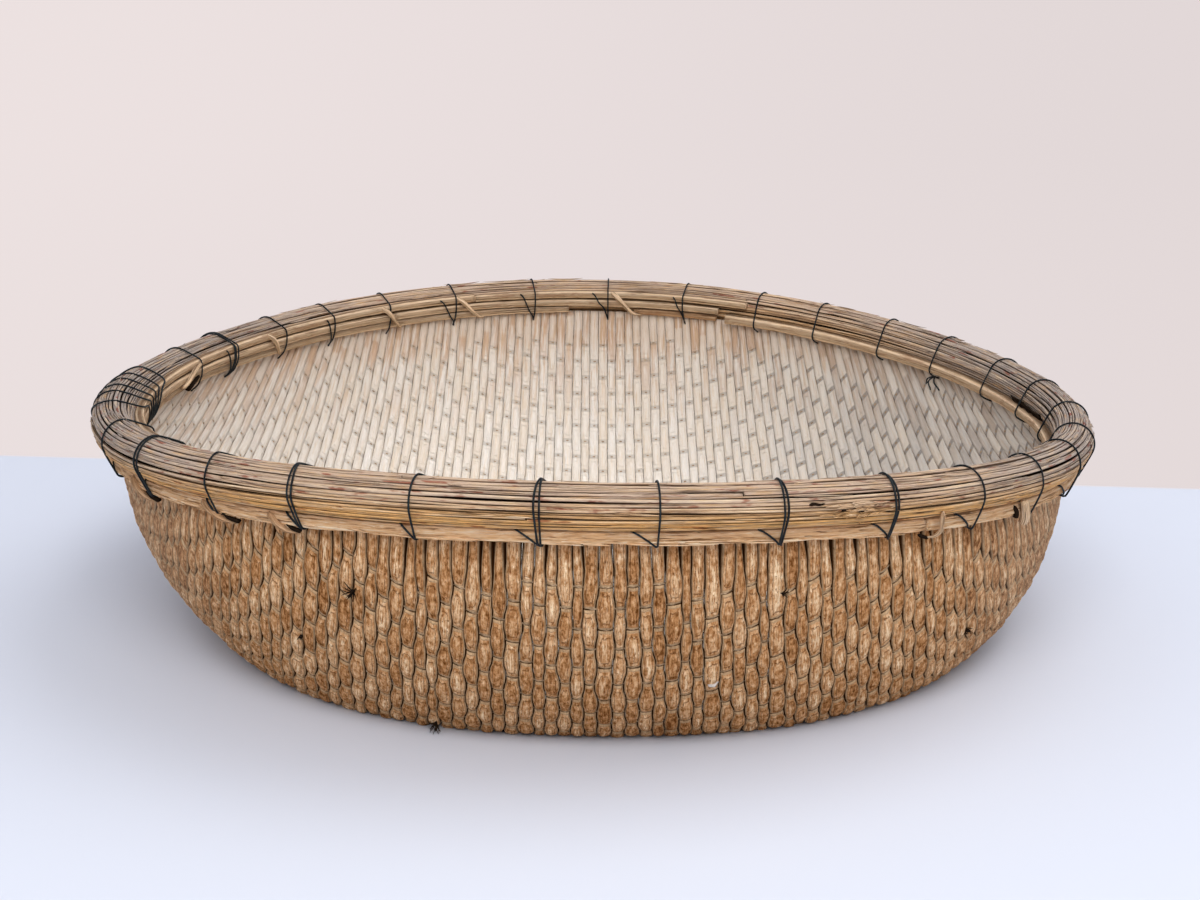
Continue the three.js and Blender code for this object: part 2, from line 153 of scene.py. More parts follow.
class Socket:
    """A shader socket with arithmetic: each expression adds its Math nodes."""

    def __init__(self, board: "NodeBoard", link: Any) -> None:
        """Keep the board and the socket that this value comes from."""
        self.board = board
        self.link = link

    def _math(self, operation: str, first: Any, second: Any = 0.0) -> "Socket":
        """Return the result of one Math node on two values."""
        return self.board.add("ShaderNodeMath", {"operation": operation}, {0: first, 1: second})

    def __add__(self, other: Any) -> "Socket":
        """Return the sum."""
        return self._math("ADD", self, other)

    def __sub__(self, other: Any) -> "Socket":
        """Return the difference."""
        return self._math("SUBTRACT", self, other)

    def __rsub__(self, other: Any) -> "Socket":
        """Return the difference from a plain number."""
        return self._math("SUBTRACT", other, self)

    def __mul__(self, other: Any) -> "Socket":
        """Return the product."""
        return self._math("MULTIPLY", self, other)

    def __abs__(self) -> "Socket":
        """Return the value without its sign."""
        return self._math("ABSOLUTE", self)

    def sine(self) -> "Socket":
        """Return the sine."""
        return self._math("SINE", self)

    def larger(self, other: Any) -> "Socket":
        """Return the larger of two values."""
        return self._math("MAXIMUM", self, other)

    def step(self, low: float, high: float) -> "Socket":
        """Return a smooth step that is 0 below low and 1 above high.

        Args:
            low: Value at which the step starts.
            high: Value at which it is complete. It may be below low, for a falling step.

        Returns:
            The stepped value.
        """
        rising = low < high
        inputs = {0: self, 1: min(low, high), 2: max(low, high), 3: float(not rising), 4: float(rising)}
        return self.board.add("ShaderNodeMapRange", {"interpolation_type": "SMOOTHSTEP"}, inputs)


class NodeBoard:
    """The node tree of a material or a world."""

    def __init__(self, name: str, world: bpy.types.World | None = None) -> None:
        """Start the empty tree of a world, or of a new material with that name.

        Args:
            name: The new material's name.
            world: The world, if it is one's tree.
        """
        self.material = world or bpy.data.materials.new(name)
        self.material.use_nodes = True
        self.tree = self.material.node_tree
        self.tree.nodes.clear()

    def add(
        self,
        kind: str,
        settings: dict[str, Any] | None = None,
        inputs: dict[int | str, Any] | None = None,
        output: int | str = 0,
    ) -> Socket:
        """Add a node.

        Args:
            kind: The node's type.
            settings: The node's own settings.
            inputs: Values or sockets for its inputs, by number or name.
            output: Which output to return.

        Returns:
            The chosen output.
        """
        node = self.tree.nodes.new(kind)
        for key, value in (settings or {}).items():
            setattr(node, key, value)
        for key, value in (inputs or {}).items():
            if isinstance(value, Socket):
                self.tree.links.new(value.link, node.inputs[key])
            else:
                node.inputs[key].default_value = value
        return Socket(self, node.outputs[output] if node.outputs else None)

    def ramp(self, value: Socket, stops: Sequence[tuple[float, Colour]]) -> Socket:
        """Return a colour that changes with a value.

        Args:
            value: The value.
            stops: Values in rising order, each with its colour.

        Returns:
            The colour.
        """
        made = self.add("ShaderNodeValToRGB", None, {0: value})
        elements = made.link.node.color_ramp.elements
        while len(elements) < len(stops):
            elements.new(0.5)
        for element, (place, colour) in zip(elements, stops):
            element.position = place
            element.color = (*colour, 1.0)
        return made

    def mix(self, share: Any, first: Any, second: Any) -> Socket:
        """Return two colours mixed.

        Args:
            share: How much of the second colour, from 0 to 1.
            first: A colour or a socket.
            second: A colour or a socket.

        Returns:
            The mixed colour.
        """
        colours = [c if isinstance(c, Socket) else (*c, 1.0) for c in (first, second)]
        inputs = {0: share, 6: colours[0], 7: colours[1]}
        return self.add("ShaderNodeMix", {"data_type": "RGBA"}, inputs, 2)

    def layered(self, colour: Any, *layers: tuple[Any, Colour]) -> Any:
        """Return a colour with others laid over it in turn, each with its share.

        Args:
            colour: The lowest colour, or its socket.
            layers: The share of each colour above it, and that colour.

        Returns:
            The mixed colour.
        """
        for share, over in layers:
            colour = self.mix(share, colour, over)
        return colour

    def attribute(self, name: str) -> Socket:
        """Return a vector attribute of the mesh."""
        return self.add("ShaderNodeAttribute", {"attribute_name": name}, None, "Vector")

    def parts(self, vector: Socket) -> tuple[Socket, Socket, Socket]:
        """Return the three numbers of a vector.

        Args:
            vector: The vector.

        Returns:
            Its numbers, each as a socket.
        """
        split = self.add("ShaderNodeSeparateXYZ", None, {0: vector})
        outputs = split.link.node.outputs
        return split, Socket(self, outputs[1]), Socket(self, outputs[2])

    def rightness(self) -> Socket:
        """Return how far right of the basket's middle a place lies, in metres."""
        return self.parts(self.add("ShaderNodeTexCoord", None, None, "Object"))[0]

    def noise(self, vector: Socket, scales: Sequence[float], detail: float, rough: float = 0.6) -> Socket:
        """Return a noise value at a place.

        Args:
            vector: Where to read the noise.
            scales: How fine it is along each axis.
            detail: How many finer layers it has.
            rough: How strong the finer layers are.

        Returns:
            A value that lies round 0.5.
        """
        place = self.add("ShaderNodeVectorMath", {"operation": "MULTIPLY"}, {0: vector, 1: scales})
        inputs = {"Vector": place, "Scale": 1.0, "Detail": detail, "Roughness": rough}
        return self.add("ShaderNodeTexNoise", None, inputs)

    def surface(
        self,
        colour: Socket,
        roughness: Any,
        height: Socket,
        relief: tuple[float, float],
        gloss: float,
        metallic: float = 0.0,
    ) -> bpy.types.Material:
        """Close the tree with one shader.

        Args:
            colour: Base colour.
            roughness: Roughness.
            height: Height of a fine relief.
            relief: Strength of that relief, and its depth in metres.
            gloss: How much the surface mirrors.
            metallic: How much of it is bare metal.

        Returns:
            The finished material.
        """
        bump = {"Height": height, "Strength": relief[0], "Distance": relief[1]}
        inputs = {
            "Base Color": colour,
            "Roughness": roughness,
            "Normal": self.add("ShaderNodeBump", None, bump),
            "Specular IOR Level": gloss,
            "Metallic": metallic,
        }
        shader = self.add("ShaderNodeBsdfPrincipled", None, inputs)
        self.add("ShaderNodeOutputMaterial", None, {"Surface": shader})
        return self.material


@dataclass(frozen=True)
class WillowFinish:
    """Peeled willow of the bowl: brown and scuffed outside, pale and clean inside, with painted shade in
    its crevices and notches.
    """

    umber: Colour = (0.15, 0.050, 0.012)
    tan: Colour = (0.49, 0.235, 0.093)
    straw: Colour = (0.78, 0.50, 0.28)
    scrape: Colour = (0.97, 0.76, 0.50)
    outline: Colour = (0.62, 0.42, 0.24)
    # painted shade: near-black brown laid where rods meet and in the notches
    crevice_shade: Colour = (0.045, 0.014, 0.002)
    cream: Colour = (0.97, 0.93, 0.88)
    biscuit: Colour = (0.86, 0.74, 0.61)
    rosy: Colour = (0.66, 0.43, 0.28)
    honey: Colour = (0.82, 0.64, 0.43)
    # painted shade for the notches of the inner face
    notch_shade: Colour = (0.24, 0.21, 0.19)
    # greyer tone with painted shade for the inner face
    grey_and_shade_inside: Colour = (0.30, 0.28, 0.27)
    end_pale_grey: Colour = (0.56, 0.46, 0.36)
    roughness: float = 0.75
    gloss: float = 0.0

    def material(self) -> bpy.types.Material:
        """Return the willow material.

        Returns:
            The material.
        """
        board = NodeBoard("peeled_willow")
        grain = board.attribute("grain")
        across, notch, side = board.parts(board.attribute("cell"))
        rod, cell, height = board.parts(board.attribute("tint"))
        x = board.rightness()
        mottle = board.noise(grain, (0.26, 0.42, 0.42), 3.0)
        fibre = board.noise(grain, (0.13, 1.4, 1.4), 2.0)
        speck = board.noise(grain, (0.55, 0.9, 0.9), 2.0)
        blush = board.noise(grain, (0.05, 0.5, 0.5), 2.0, 0.5)
        edge = abs(across)
        inset = edge.larger(1.02 - notch)
        ring = (inset * 19.0 + mottle * 9.0).sine().step(0.6, 0.98) * inset.step(0.25, 0.5)

        tone = mottle * 1.8 + fibre * 0.6 + cell * 0.28 + rod * 0.1 - 0.93
        stops = ((0.0, self.umber), (0.38, self.tan), (0.8, self.straw), (1.0, self.scrape))
        scraped = edge.step(0.4, 0.1) * notch.step(0.6, 0.92) * fibre.step(0.5, 0.56)
        outer = board.layered(
            board.ramp(tone, stops),
            (scraped * cell.step(0.45, 0.8) * 0.75, self.scrape),
            (speck.step(0.62, 0.70) * 0.7, self.umber),
            (ring * 0.64, self.umber),
            (inset.step(0.75, 0.83) * (mottle * 1.2 + 0.15), self.outline),
            # painted shade in the crevices along the rods' edges and in the notches
            (edge.step(0.87, 0.96) * 0.98, self.crevice_shade),
            (notch.step(0.09, 0.03) * 0.95, self.crevice_shade),
            # paler, greyer tone towards both ends of the basket
            (abs(x).step(0.2, 0.34) * (mottle + fibre) * 0.3, self.end_pale_grey),
        )

        right = x.step(0.04, 0.30)
        rosy = height.step(0.3, 0.95) * (cell * 0.5 + blush * 1.4 - 0.3).step(0.5, 0.95) * 0.7
        clean = board.layered(
            self.biscuit,
            (fibre.step(0.3, 0.7) * 0.4 + cell * 0.35 + rod * 0.25, self.cream),
            (rosy + height.step(0.8, 0.97) * 0.3, self.rosy),
            (blush.step(0.52, 0.7) * 0.35, self.honey),
            # painted shade along the rods' edges on the inner face
            (edge.step(0.85, 1.0) * 0.2, self.rosy),
            # painted shade in the notches of the inner face, stronger towards the right end
            (notch.step(0.26, 0.12) * (right * 0.5 + 0.3), self.notch_shade),
            # inner face greyer and darker towards the right end, a little towards the left: partly greyed
            # wood, partly painted shade
            (right * (cell * 0.3 + fibre * 0.5) + x.step(-0.1, -0.33) * 0.2 + 0.02, self.grey_and_shade_inside),
        )

        colour = board.mix(side.step(-0.5, -0.42), clean, outer)
        relief = fibre * 0.9 + mottle * 0.8 - ring * 0.5 - speck.step(0.6, 0.7) * 0.4
        return board.surface(colour, self.roughness, relief, (0.9, 0.0012), self.gloss)


@dataclass(frozen=True)
class WoodFinish:
    """Split wood with a long grain: strips, laths, rods and the core of the bundle."""

    name: str
    dark: Colour
    middle: Colour
    pale: Colour
    weathered: Colour
    weathering: float
    stain: Colour
    stain_share: float
    warm: Colour = (0.55, 0.32, 0.11)
    warmth: float = 0.0
    flakes: float = 0.4
    edge_shade: float = 0.35
    gap_shade: float = 0.0
    grey: Colour = (0.36, 0.32, 0.30)
    greying_and_shade: float = 0.0
    fineness: float = 1.0
    roughness: float = 0.75
    gloss: float = 0.04

    def material(self) -> bpy.types.Material:
        """Return the wood material.

        Returns:
            The material.
        """
        board = NodeBoard(self.name)
        grain = board.attribute("grain")
        across, upness, outness = board.parts(board.attribute("cell"))
        piece, _, _ = board.parts(board.attribute("tint"))
        streak = board.noise(grain, (0.02, 1.5 * self.fineness, 1.5 * self.fineness), 4.0, 0.65)
        fibre = board.noise(grain, (0.11, 2.4 * self.fineness, 2.4 * self.fineness), 3.0, 0.65)
        blotch = board.noise(grain, (0.045, 0.22, 0.22), 3.0)
        crack = streak.step(0.40, 0.33)
        fresh = upness.step(0.1, -0.75) * outness.step(-0.2, 0.5) * self.warmth
        tone = streak * 1.9 + fibre * 0.9 + piece * 0.45 - 1.12
        colour = board.layered(
            board.ramp(tone, ((0.0, self.dark), (0.45, self.middle), (1.0, self.pale))),
            (upness.step(-0.35, 0.75) * self.weathering * blotch.step(0.25, 0.6), self.weathered),
            # greyer tone towards both ends: partly greyed wood, partly painted shade
            (abs(board.rightness()).step(0.16, 0.34) * blotch.step(0.2, 0.6) * self.greying_and_shade, self.grey),
            (fresh * blotch.step(0.3, 0.6), self.warm),
            (blotch.step(0.57, 0.65) * piece.step(0.4, 0.6) * self.stain_share, self.stain),
            (fibre.step(0.58, 0.7) * self.flakes, self.pale),
            (crack * 0.7, self.dark),
            (abs(across).step(0.72, 0.98) * self.edge_shade, self.dark),
            (abs(upness).step(0.7, 0.96) * self.gap_shade, self.dark),
        )
        relief = streak + fibre * 0.8 - crack * 0.9
        return board.surface(colour, self.roughness, relief, (0.9, 0.001), self.gloss)


@dataclass(frozen=True)
class WireFinish:
    """Annealed binding wire, blue-black with a little rust."""

    steel: Colour = (0.007, 0.008, 0.010)
    bloom: Colour = (0.018, 0.027, 0.030)
    rust: Colour = (0.055, 0.024, 0.018)
    metallic: float = 0.1
    gloss: float = 0.15

    def material(self) -> bpy.types.Material:
        """Return the wire material.

        Returns:
            The material.
        """
        board = NodeBoard("dark_wire")
        grain = board.attribute("grain")
        cloud = board.noise(grain, (0.25, 1.0, 1.0), 3.0)
        fine = board.noise(grain, (1.5, 3.0, 3.0), 2.0)
        layers = ((cloud.step(0.4, 0.65), self.bloom), (fine.step(0.6, 0.75) * 0.6, self.rust))
        colour = board.layered(self.steel, *layers)
        return board.surface(colour, cloud * 0.3 + 0.4, fine, (0.2, 0.0002), self.gloss, self.metallic)


@dataclass(frozen=True)
class HempFinish:
    """Thin twisted cord of pale fibre."""

    pale: Colour = (0.60, 0.44, 0.29)
    dull: Colour = (0.28, 0.18, 0.10)
    twist: float = 2.2
    name: str = "hemp_cord"
    roughness: float = 0.85
    gloss: float = 0.0

    def material(self) -> bpy.types.Material:
        """Return the cord material.

        Returns:
            The material.
        """
        board = NodeBoard(self.name)
        grain = board.attribute("grain")
        along, sideways, _ = board.parts(grain)
        ply = (along * self.twist + sideways * 3.0).sine()
        cloud = board.noise(grain, (0.2, 0.2, 0.2), 3.0)
        colour = board.mix(cloud.step(0.3, 0.7) * (ply * 0.3 + 0.7), self.dull, self.pale)
        return board.surface(colour, self.roughness, ply, (0.4, 0.0003), self.gloss)


def mesh_of(name: str, shape: bmesh.types.BMesh) -> bpy.types.Mesh:
    """Return a new mesh of a finished shape, which is freed.

    Args:
        name: The mesh's name.
        shape: The shape.

    Returns:
        The mesh.
    """
    mesh = bpy.data.meshes.new(name)
    shape.to_mesh(mesh)
    shape.free()
    return mesh


def placed(name: str, data: bpy.types.ID) -> bpy.types.Object:
    """Return a new object of the scene that shows a mesh, or holds a lamp or the camera.

    Args:
        name: The object's name.
        data: What it shows or holds.

    Returns:
        The object.
    """
    made = bpy.data.objects.new(name, data)
    bpy.context.scene.collection.objects.link(made)
    return made


class TubeStock:
    """Plain tubes, one for each count of rings and sides, that every strand is shaped from."""

    def __init__(self) -> None:
        """Start with no tubes."""
        self.made: dict[tuple[int, int], tuple[bpy.types.Mesh, Array, Array]] = {}

    def tube(self, rings: int, sides: int) -> tuple[bpy.types.Mesh, Array, Array]:
        """Return a plain closed tube.

        Args:
            rings: Rings of points along it, its two ends among them.
            sides: Points in each ring.

        Returns:
            The mesh, and each point's ring number and turn in radians.
        """
        key = (rings, sides)
        if key not in self.made:
            shape = bmesh.new()
            depth = float(rings - 1)
            bmesh.ops.create_cone(
                shape, cap_ends=True, cap_tris=False, segments=sides, radius1=1.0, radius2=1.0, depth=depth
            )
            if rings > 2:
                long_edges = [e for e in shape.edges if abs(e.verts[0].co.z - e.verts[1].co.z) > 0.5]
                bmesh.ops.subdivide_edges(shape, edges=long_edges, cuts=rings - 2, use_grid_fill=True)
            mesh = mesh_of("tube_stock", shape)
            places = np.empty(len(mesh.vertices) * 3, np.float32)
            mesh.vertices.foreach_get("co", places)
            places = places.reshape(-1, 3).astype(float)
            ring = np.rint(places[:, 2] + 0.5 * depth).astype(int)
            self.made[key] = (mesh, ring, np.arctan2(places[:, 1], places[:, 0]))
        return self.made[key]


STOCK = TubeStock()


@dataclass
class Strand:
    """A line in space that a tube follows, with the tube's size at each of its points.

    Attributes:
        centre: The points.
        up: The direction that the section's thickness points in, at each point.
        wide: Half of the section's width.
        thick: Half of its thickness.
        square: 2 for a round section and more for a boxy one.
        cell: How far the wood looks up and out at each point, where the section's own faces don't say.
        tint: Random values of the finish.
        offset: Where the grain starts.
        ragged: How far the surface wanders in and out.
    """

    centre: Array
    up: Array
    wide: Array
    thick: Array
    square: float = 2.0
    cell: Array | None = None
    tint: Sequence[float] = (0.5, 0.5, 0.5)
    offset: float = 0.0
    ragged: float = 0.0


class Piece:
    """One mesh under construction, made of any number of tubes."""

    def __init__(self, name: str) -> None:
        """Start an empty piece with that name.

        Args:
            name: The piece's name.
        """
        self.name = name
        self.shape = bmesh.new()
        self.points: list[Array] = []
        self.layers: dict[str, list[Array]] = {"grain": [], "cell": [], "tint": []}

    def add_shaped(
        self, stock: bpy.types.Mesh, points: Array, grain: Array, cell: Array, tint: Array
    ) -> None:
        """Add a tube whose points are already worked out.

        Args:
            stock: The plain tube.
            points: Where its points go.
            grain: The place in the wood of each point.
            cell: What the finish reads beside the grain.
            tint: Random values of the finish.
        """
        self.shape.from_mesh(stock)
        self.points.append(points)
        for name, values in (("grain", grain), ("cell", cell), ("tint", tint)):
            self.layers[name].append(np.broadcast_to(values, points.shape))

    def add(self, strand: Strand, sides: int) -> None:
        """Add a tube along a strand.

        Args:
            strand: The line and its sizes.
            sides: Points in each ring.
        """
        mesh, ring, turn = STOCK.tube(len(strand.centre), sides)
        ahead = unit(np.gradient(strand.centre, axis=0))
        side = unit(np.cross(strand.up, ahead))
        up = np.cross(ahead, side)
        length = lengths_along(strand.centre)
        power = 2.0 / strand.square
        across = signed_power(np.cos(turn), power)
        rise = signed_power(np.sin(turn), power)
        swell = np.ones(len(ring))
        if strand.ragged:
            sector = np.rint(turn * sides / (2.0 * math.pi)).astype(int) % sides
            seed = int(strand.offset * 10.0) + Seed.RAGGED
            lines = np.stack([wander(seed + s, length, 6.0) for s in range(sides)])
            swell = swell + strand.ragged * lines[sector, ring]
        x = across * np.asarray(strand.wide)[ring] * swell
        y = rise * np.asarray(strand.thick)[ring] * swell
        points = strand.centre[ring] + side[ring] * x[:, None] + up[ring] * y[:, None]
        grain = np.stack([length[ring] + strand.offset, x, y], axis=1)
        facing = unit(side[ring] * across[:, None] + up[ring] * rise[:, None])
        cell = np.stack([across, facing[:, 2], np.zeros(len(ring))], axis=1)
        outward = unit(strand.centre[ring] * np.array([1.0, 1.0, 0.0]))
        cell[:, 2] = np.sum(facing * outward, axis=1)
        if strand.cell is not None:
            cell[:, 1:] = strand.cell[ring]
        self.add_shaped(mesh, points, grain, cell, np.array(strand.tint, float))

    def close(
        self, material: bpy.types.Material, slot: Slot, replaces: Sequence[str] = ()
    ) -> bpy.types.Object:
        """Turn the piece into a finished object that rides on the basket.

        Args:
            material: Its finish.
            slot: The record's slot for its finish. It is not used.
            replaces: CAD nodes that it stands for.

        Returns:
            The object.
        """
        mesh = mesh_of(self.name, self.shape)
        points = np.concatenate(self.points) * MM
        mesh.vertices.foreach_set("co", points.astype(np.float32).ravel())
        for name, values in self.layers.items():
            layer = mesh.attributes.new(name, "FLOAT_VECTOR", "POINT")
            layer.data.foreach_set("vector", np.concatenate(values).astype(np.float32).ravel())
        mesh.shade_smooth()
        mesh.materials.append(material)
        mesh.update()
        piece = placed(self.name, mesh)
        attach(piece, "root")
        if replaces:
            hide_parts(*replaces)
        mesh.calc_loop_triangles()
        log.info("%s: %d triangles", self.name, len(mesh.loop_triangles))
        return piece


@dataclass(frozen=True)
class RimLine:
    """The centre line of the rim bundle, and places measured out and up from it."""

    half_width: float = 340.0
    half_depth: float = 339.0
    height: float = 157.0
    saddle: float = 11.0
    tilt: float = 3.0
    lap_angle: float = 183.0
    lap_reach: float = 20.0
    lap_swell: float = 2.2

    def centre_height(self, angle: Array) -> Array:
        """Return the height of the centre line at an angle."""
        turn = np.radians(angle)
        return self.height - self.saddle * np.cos(2.0 * turn) - self.tilt * np.cos(turn)

    def swell(self, angle: Array) -> Array:
        """Return how much thicker the bundle is over its lap joint.

        Args:
            angle: Where round the rim.

        Returns:
            The growth of the bundle's radius.
        """
        off = np.abs(((np.asarray(angle, float) - self.lap_angle + 540.0) % 360.0) - 180.0)
        share = np.cos(np.minimum(off / self.lap_reach, 1.0) * 0.5 * math.pi)
        return self.lap_swell * share**2

    def point(self, angle: Array, out: Array, up: Array) -> Array:
        """Return a place by the rim.

        Args:
            angle: Where round the rim.
            out: How far out from the centre line.
            up: How far above it.

        Returns:
            Points, one row each.
        """
        angle, out, up = np.broadcast_arrays(np.asarray(angle, float), out, up)
        turn = np.radians(angle)
        x = (self.half_width + out) * np.cos(turn)
        y = (self.half_depth + out) * np.sin(turn)
        return np.stack([x, y, self.centre_height(angle) + up], axis=-1)

    def section(self, angle: Array, reach: Array, direction: Array) -> Array:
        """Return a place by its distance and direction, in radians, from the centre line."""
        return self.point(angle, reach * np.cos(direction), reach * np.sin(direction))

    def along(self, angle: float, length: float) -> float:
        """Return the angle that lies a length further round."""
        return angle + math.degrees(length / (0.5 * (self.half_width + self.half_depth)))


@dataclass(frozen=True)
class BowlForm:
    """The outer face of the woven wall."""

    rim: RimLine
    base_half_width: float = 266.0
    base_half_depth: float = 268.0
    base_shift: float = 6.0
    squareness: float = 2.25
    belly: float = 2.55
    rounding: float = 1.3
    rounding_change: float = 0.15
    inset: float = 3.5
    thickness: float = 7.0
    top_drop: float = 13.95

    def point(self, angle: Array, level: Array) -> Array:
        """Return points of the face, where level is 0 at the base and 1 under the bundle.

        Args:
            angle: Where round the rim.
            level: How far up the face.

        Returns:
            Points, one row each.
        """
        turn = np.radians(angle)
        c, s = np.cos(turn), np.sin(turn)
        rim_up = self.rim.centre_height(angle)
        height = (rim_up - self.top_drop - self.rim.swell(angle)) * level
        rounding = self.rounding + self.rounding_change * c
        grow = (1.0 - (1.0 - height / rim_up) ** self.belly) ** (1.0 / rounding)
        power = 2.0 / (self.squareness + (2.0 - self.squareness) * grow)
        base_x = self.base_half_width * signed_power(c, power) + self.base_shift
        base_y = self.base_half_depth * signed_power(s, power)
        x = base_x + ((self.rim.half_width - self.inset) * c - base_x) * grow
        y = base_y + ((self.rim.half_depth - self.inset) * s - base_y) * grow
        return np.stack([x, y, height], axis=-1)

    def normal(self, angle: Array, level: Array) -> Array:
        """Return the outward direction of the face at those points.

        Args:
            angle: Where round the rim.
            level: How far up the face.

        Returns:
            Directions of length 1.
        """
        low = np.maximum(level - 0.002, 0.0)
        rise = self.point(angle, level + 0.002) - self.point(angle, low)
        turn = self.point(angle + 0.2, level) - self.point(angle - 0.2, level)
        return unit(np.cross(turn, rise))


class Half(Enum):
    """The two halves of the wall, each with the way its rods turn at the basket's ends."""

    BACK = (0.0, 180.0, 1.9)
    FRONT = (180.0, 360.0, 5.0)


@dataclass
class Column:
    """One line from the front rim over the floor to the back rim, sampled evenly by length.

    Attributes:
        start: Length at the first sample: below 0 in front of the middle.
        points: Samples in the middle of the wall's thickness.
        normals: Outward directions.
        front: Length from the middle to the front rim.
        back: Length from the middle to the back rim.
    """

    start: float
    points: Array
    normals: Array
    front: float
    back: float

    def at(self, places: Array, step: float) -> tuple[Array, Array]:
        """Return the points and normals at places along the line.

        Args:
            places: Lengths from the middle, below 0 in front.
            step: Length between two samples.

        Returns:
            The points, and the normals there.
        """
        spot = np.clip((places - self.start) / step, 0.0, len(self.points) - 1.001)
        low = spot.astype(int)
        share = (spot - low)[..., None]
        point = between(self.points[low], self.points[low + 1], share)
        return point, between(self.normals[low], self.normals[low + 1], share)


@dataclass
class WallGrid:
    """One half of the wall, sampled from left to right and from its foot to its top.

    Attributes:
        levels: Level of each row.
        points: Samples in the middle of the wall's thickness.
        normals: Outward directions.
        across: Across number of each sample, which rises from left to right.
    """

    levels: Array
    points: Array
    normals: Array
    across: Array


@dataclass
class WeaveField:
    """The lines that the rods follow: one across number for each, evenly spaced on the floor."""

    form: BowlForm
    pitch: float = 8.1
    spread: float = 0.09
    step: float = 2.0
    turns: int = 361
    levels: int = 400
    top_level: float = 1.03
    floor_samples: int = 80
    columns: dict[int, Column] = field(default_factory=dict)

    def __post_init__(self) -> None:
        """Work out every line, half a pitch apart."""
        halves = {half: self._half(half) for half in Half}
        low = max(float(np.min(grid.across[:, -1])) for grid in halves.values())
        high = min(float(np.max(grid.across[:, -1])) for grid in halves.values())
        half_pitch = 0.5 * self.pitch
        for number in range(math.ceil(low / half_pitch), math.floor(high / half_pitch) + 1):
            self.columns[number] = self._column(number * half_pitch, halves)

    def _half(self, half: Half) -> WallGrid:
        """Return one half of the wall.

        Args:
            half: Which half.

        Returns:
            Its samples.
        """
        first, last, power = half.value
        levels = np.linspace(0.0005, self.top_level, self.levels)
        angle, level = np.meshgrid(np.linspace(first, last, self.turns), levels, indexing="ij")
        normals = self.form.normal(angle, level)
        points = self.form.point(angle, level) - 0.5 * self.form.thickness * normals
        steps = np.linalg.norm(np.diff(points, axis=1), axis=2)
        climbed = np.concatenate([np.zeros((self.turns, 1)), np.cumsum(steps, axis=1)], axis=1)
        shift = self.form.base_shift * (1.0 - level)
        radius = np.hypot(points[..., 0] - shift, points[..., 1])
        weight = np.abs(np.cos(np.radians(angle))) ** power
        fan = (1.0 + self.spread * level) * (1.0 - weight)
        across = points[..., 0] * (fan + weight * (radius[:, :1] + climbed) / radius)
        if half is Half.BACK:
            points, across, normals = points[::-1], across[::-1], normals[::-1]
        middle = self.turns // 2
        nudge = np.linspace(0.0, 0.05, self.turns - middle)[:, None]
        right = np.maximum.accumulate(across[middle:], axis=0) + nudge
        left = np.minimum.accumulate(across[: middle + 1][::-1], axis=0) - nudge
        return WallGrid(levels, points, normals, np.concatenate([left[::-1][:-1], right], axis=0))

    def _climb(self, target: float, grid: WallGrid) -> tuple[Array, Array, float]:
        """Return points and normals up one half of the wall, and the length to its top edge.

        Args:
            target: The line's across number.
            grid: The half of the wall.

        Returns:
            Points from the foot up, normals, and the length to the top edge.
        """
        line, facing, tops = [], [], []
        end = -1 if target > 0.0 else 0
        edge = grid.across[end]
        inside = edge >= target if target > 0.0 else edge <= target
        if not inside[0]:
            level = int(np.argmax(inside))
            share = (target - edge[level - 1]) / (edge[level] - edge[level - 1])
            line.append(between(grid.points[end, level - 1], grid.points[end, level], share))
            facing.append(grid.normals[end, level])
            tops.append(grid.levels[level - 1])
        turns = np.arange(self.turns, dtype=float)
        for level in np.nonzero(inside)[0]:
            spot = float(np.interp(target, grid.across[:, level], turns))
            low = min(int(spot), self.turns - 2)
            for rows, values in ((line, grid.points), (facing, grid.normals)):
                rows.append(between(values[low, level], values[low + 1, level], spot - low))
            tops.append(grid.levels[level])
        path = np.array(line)
        return path, np.array(facing), float(np.interp(1.0, tops, lengths_along(path)))

    def _column(self, target: float, halves: dict[Half, WallGrid]) -> Column:
        """Return the whole line with that across number.

        Args:
            target: The across number.
            halves: Both halves of the wall.

        Returns:
            The line from rim to rim.
        """
        floor_height = 0.5 * self.form.thickness
        ends, runs = [], []
        for half, sign in ((Half.FRONT, -1.0), (Half.BACK, 1.0)):
            path, facing, top = self._climb(target, halves[half])
            reach = abs(path[0, 1]) if abs(path[0, 2] - floor_height) < 0.6 else 0.0
            ends.append(reach + top)
            runs.append((sign * (reach + lengths_along(path)), path, facing))
        (front, front_path, _), (back, back_path, _) = runs
        if abs(front[0]) > self.step:
            floor = np.linspace(front[0], back[0], self.floor_samples)[1:-1]
            share = ((floor - floor[0]) / (floor[-1] - floor[0]))[:, None]
            points = between(front_path[0], back_path[0], share)
            points[:, 2] = floor_height
            runs.append((floor, points, np.tile([0.0, 0.0, -1.0], (len(floor), 1))))
        places, points, normals = (np.concatenate(rows) for rows in zip(*runs))
        order = np.argsort(places, kind="stable")
        places = places[order]
        even = np.arange(places[0], places[-1], self.step)
        samples = read_between(points[order], places, even)
        facing = unit(read_between(normals[order], places, even))
        return Column(float(even[0]), samples, facing, *ends)


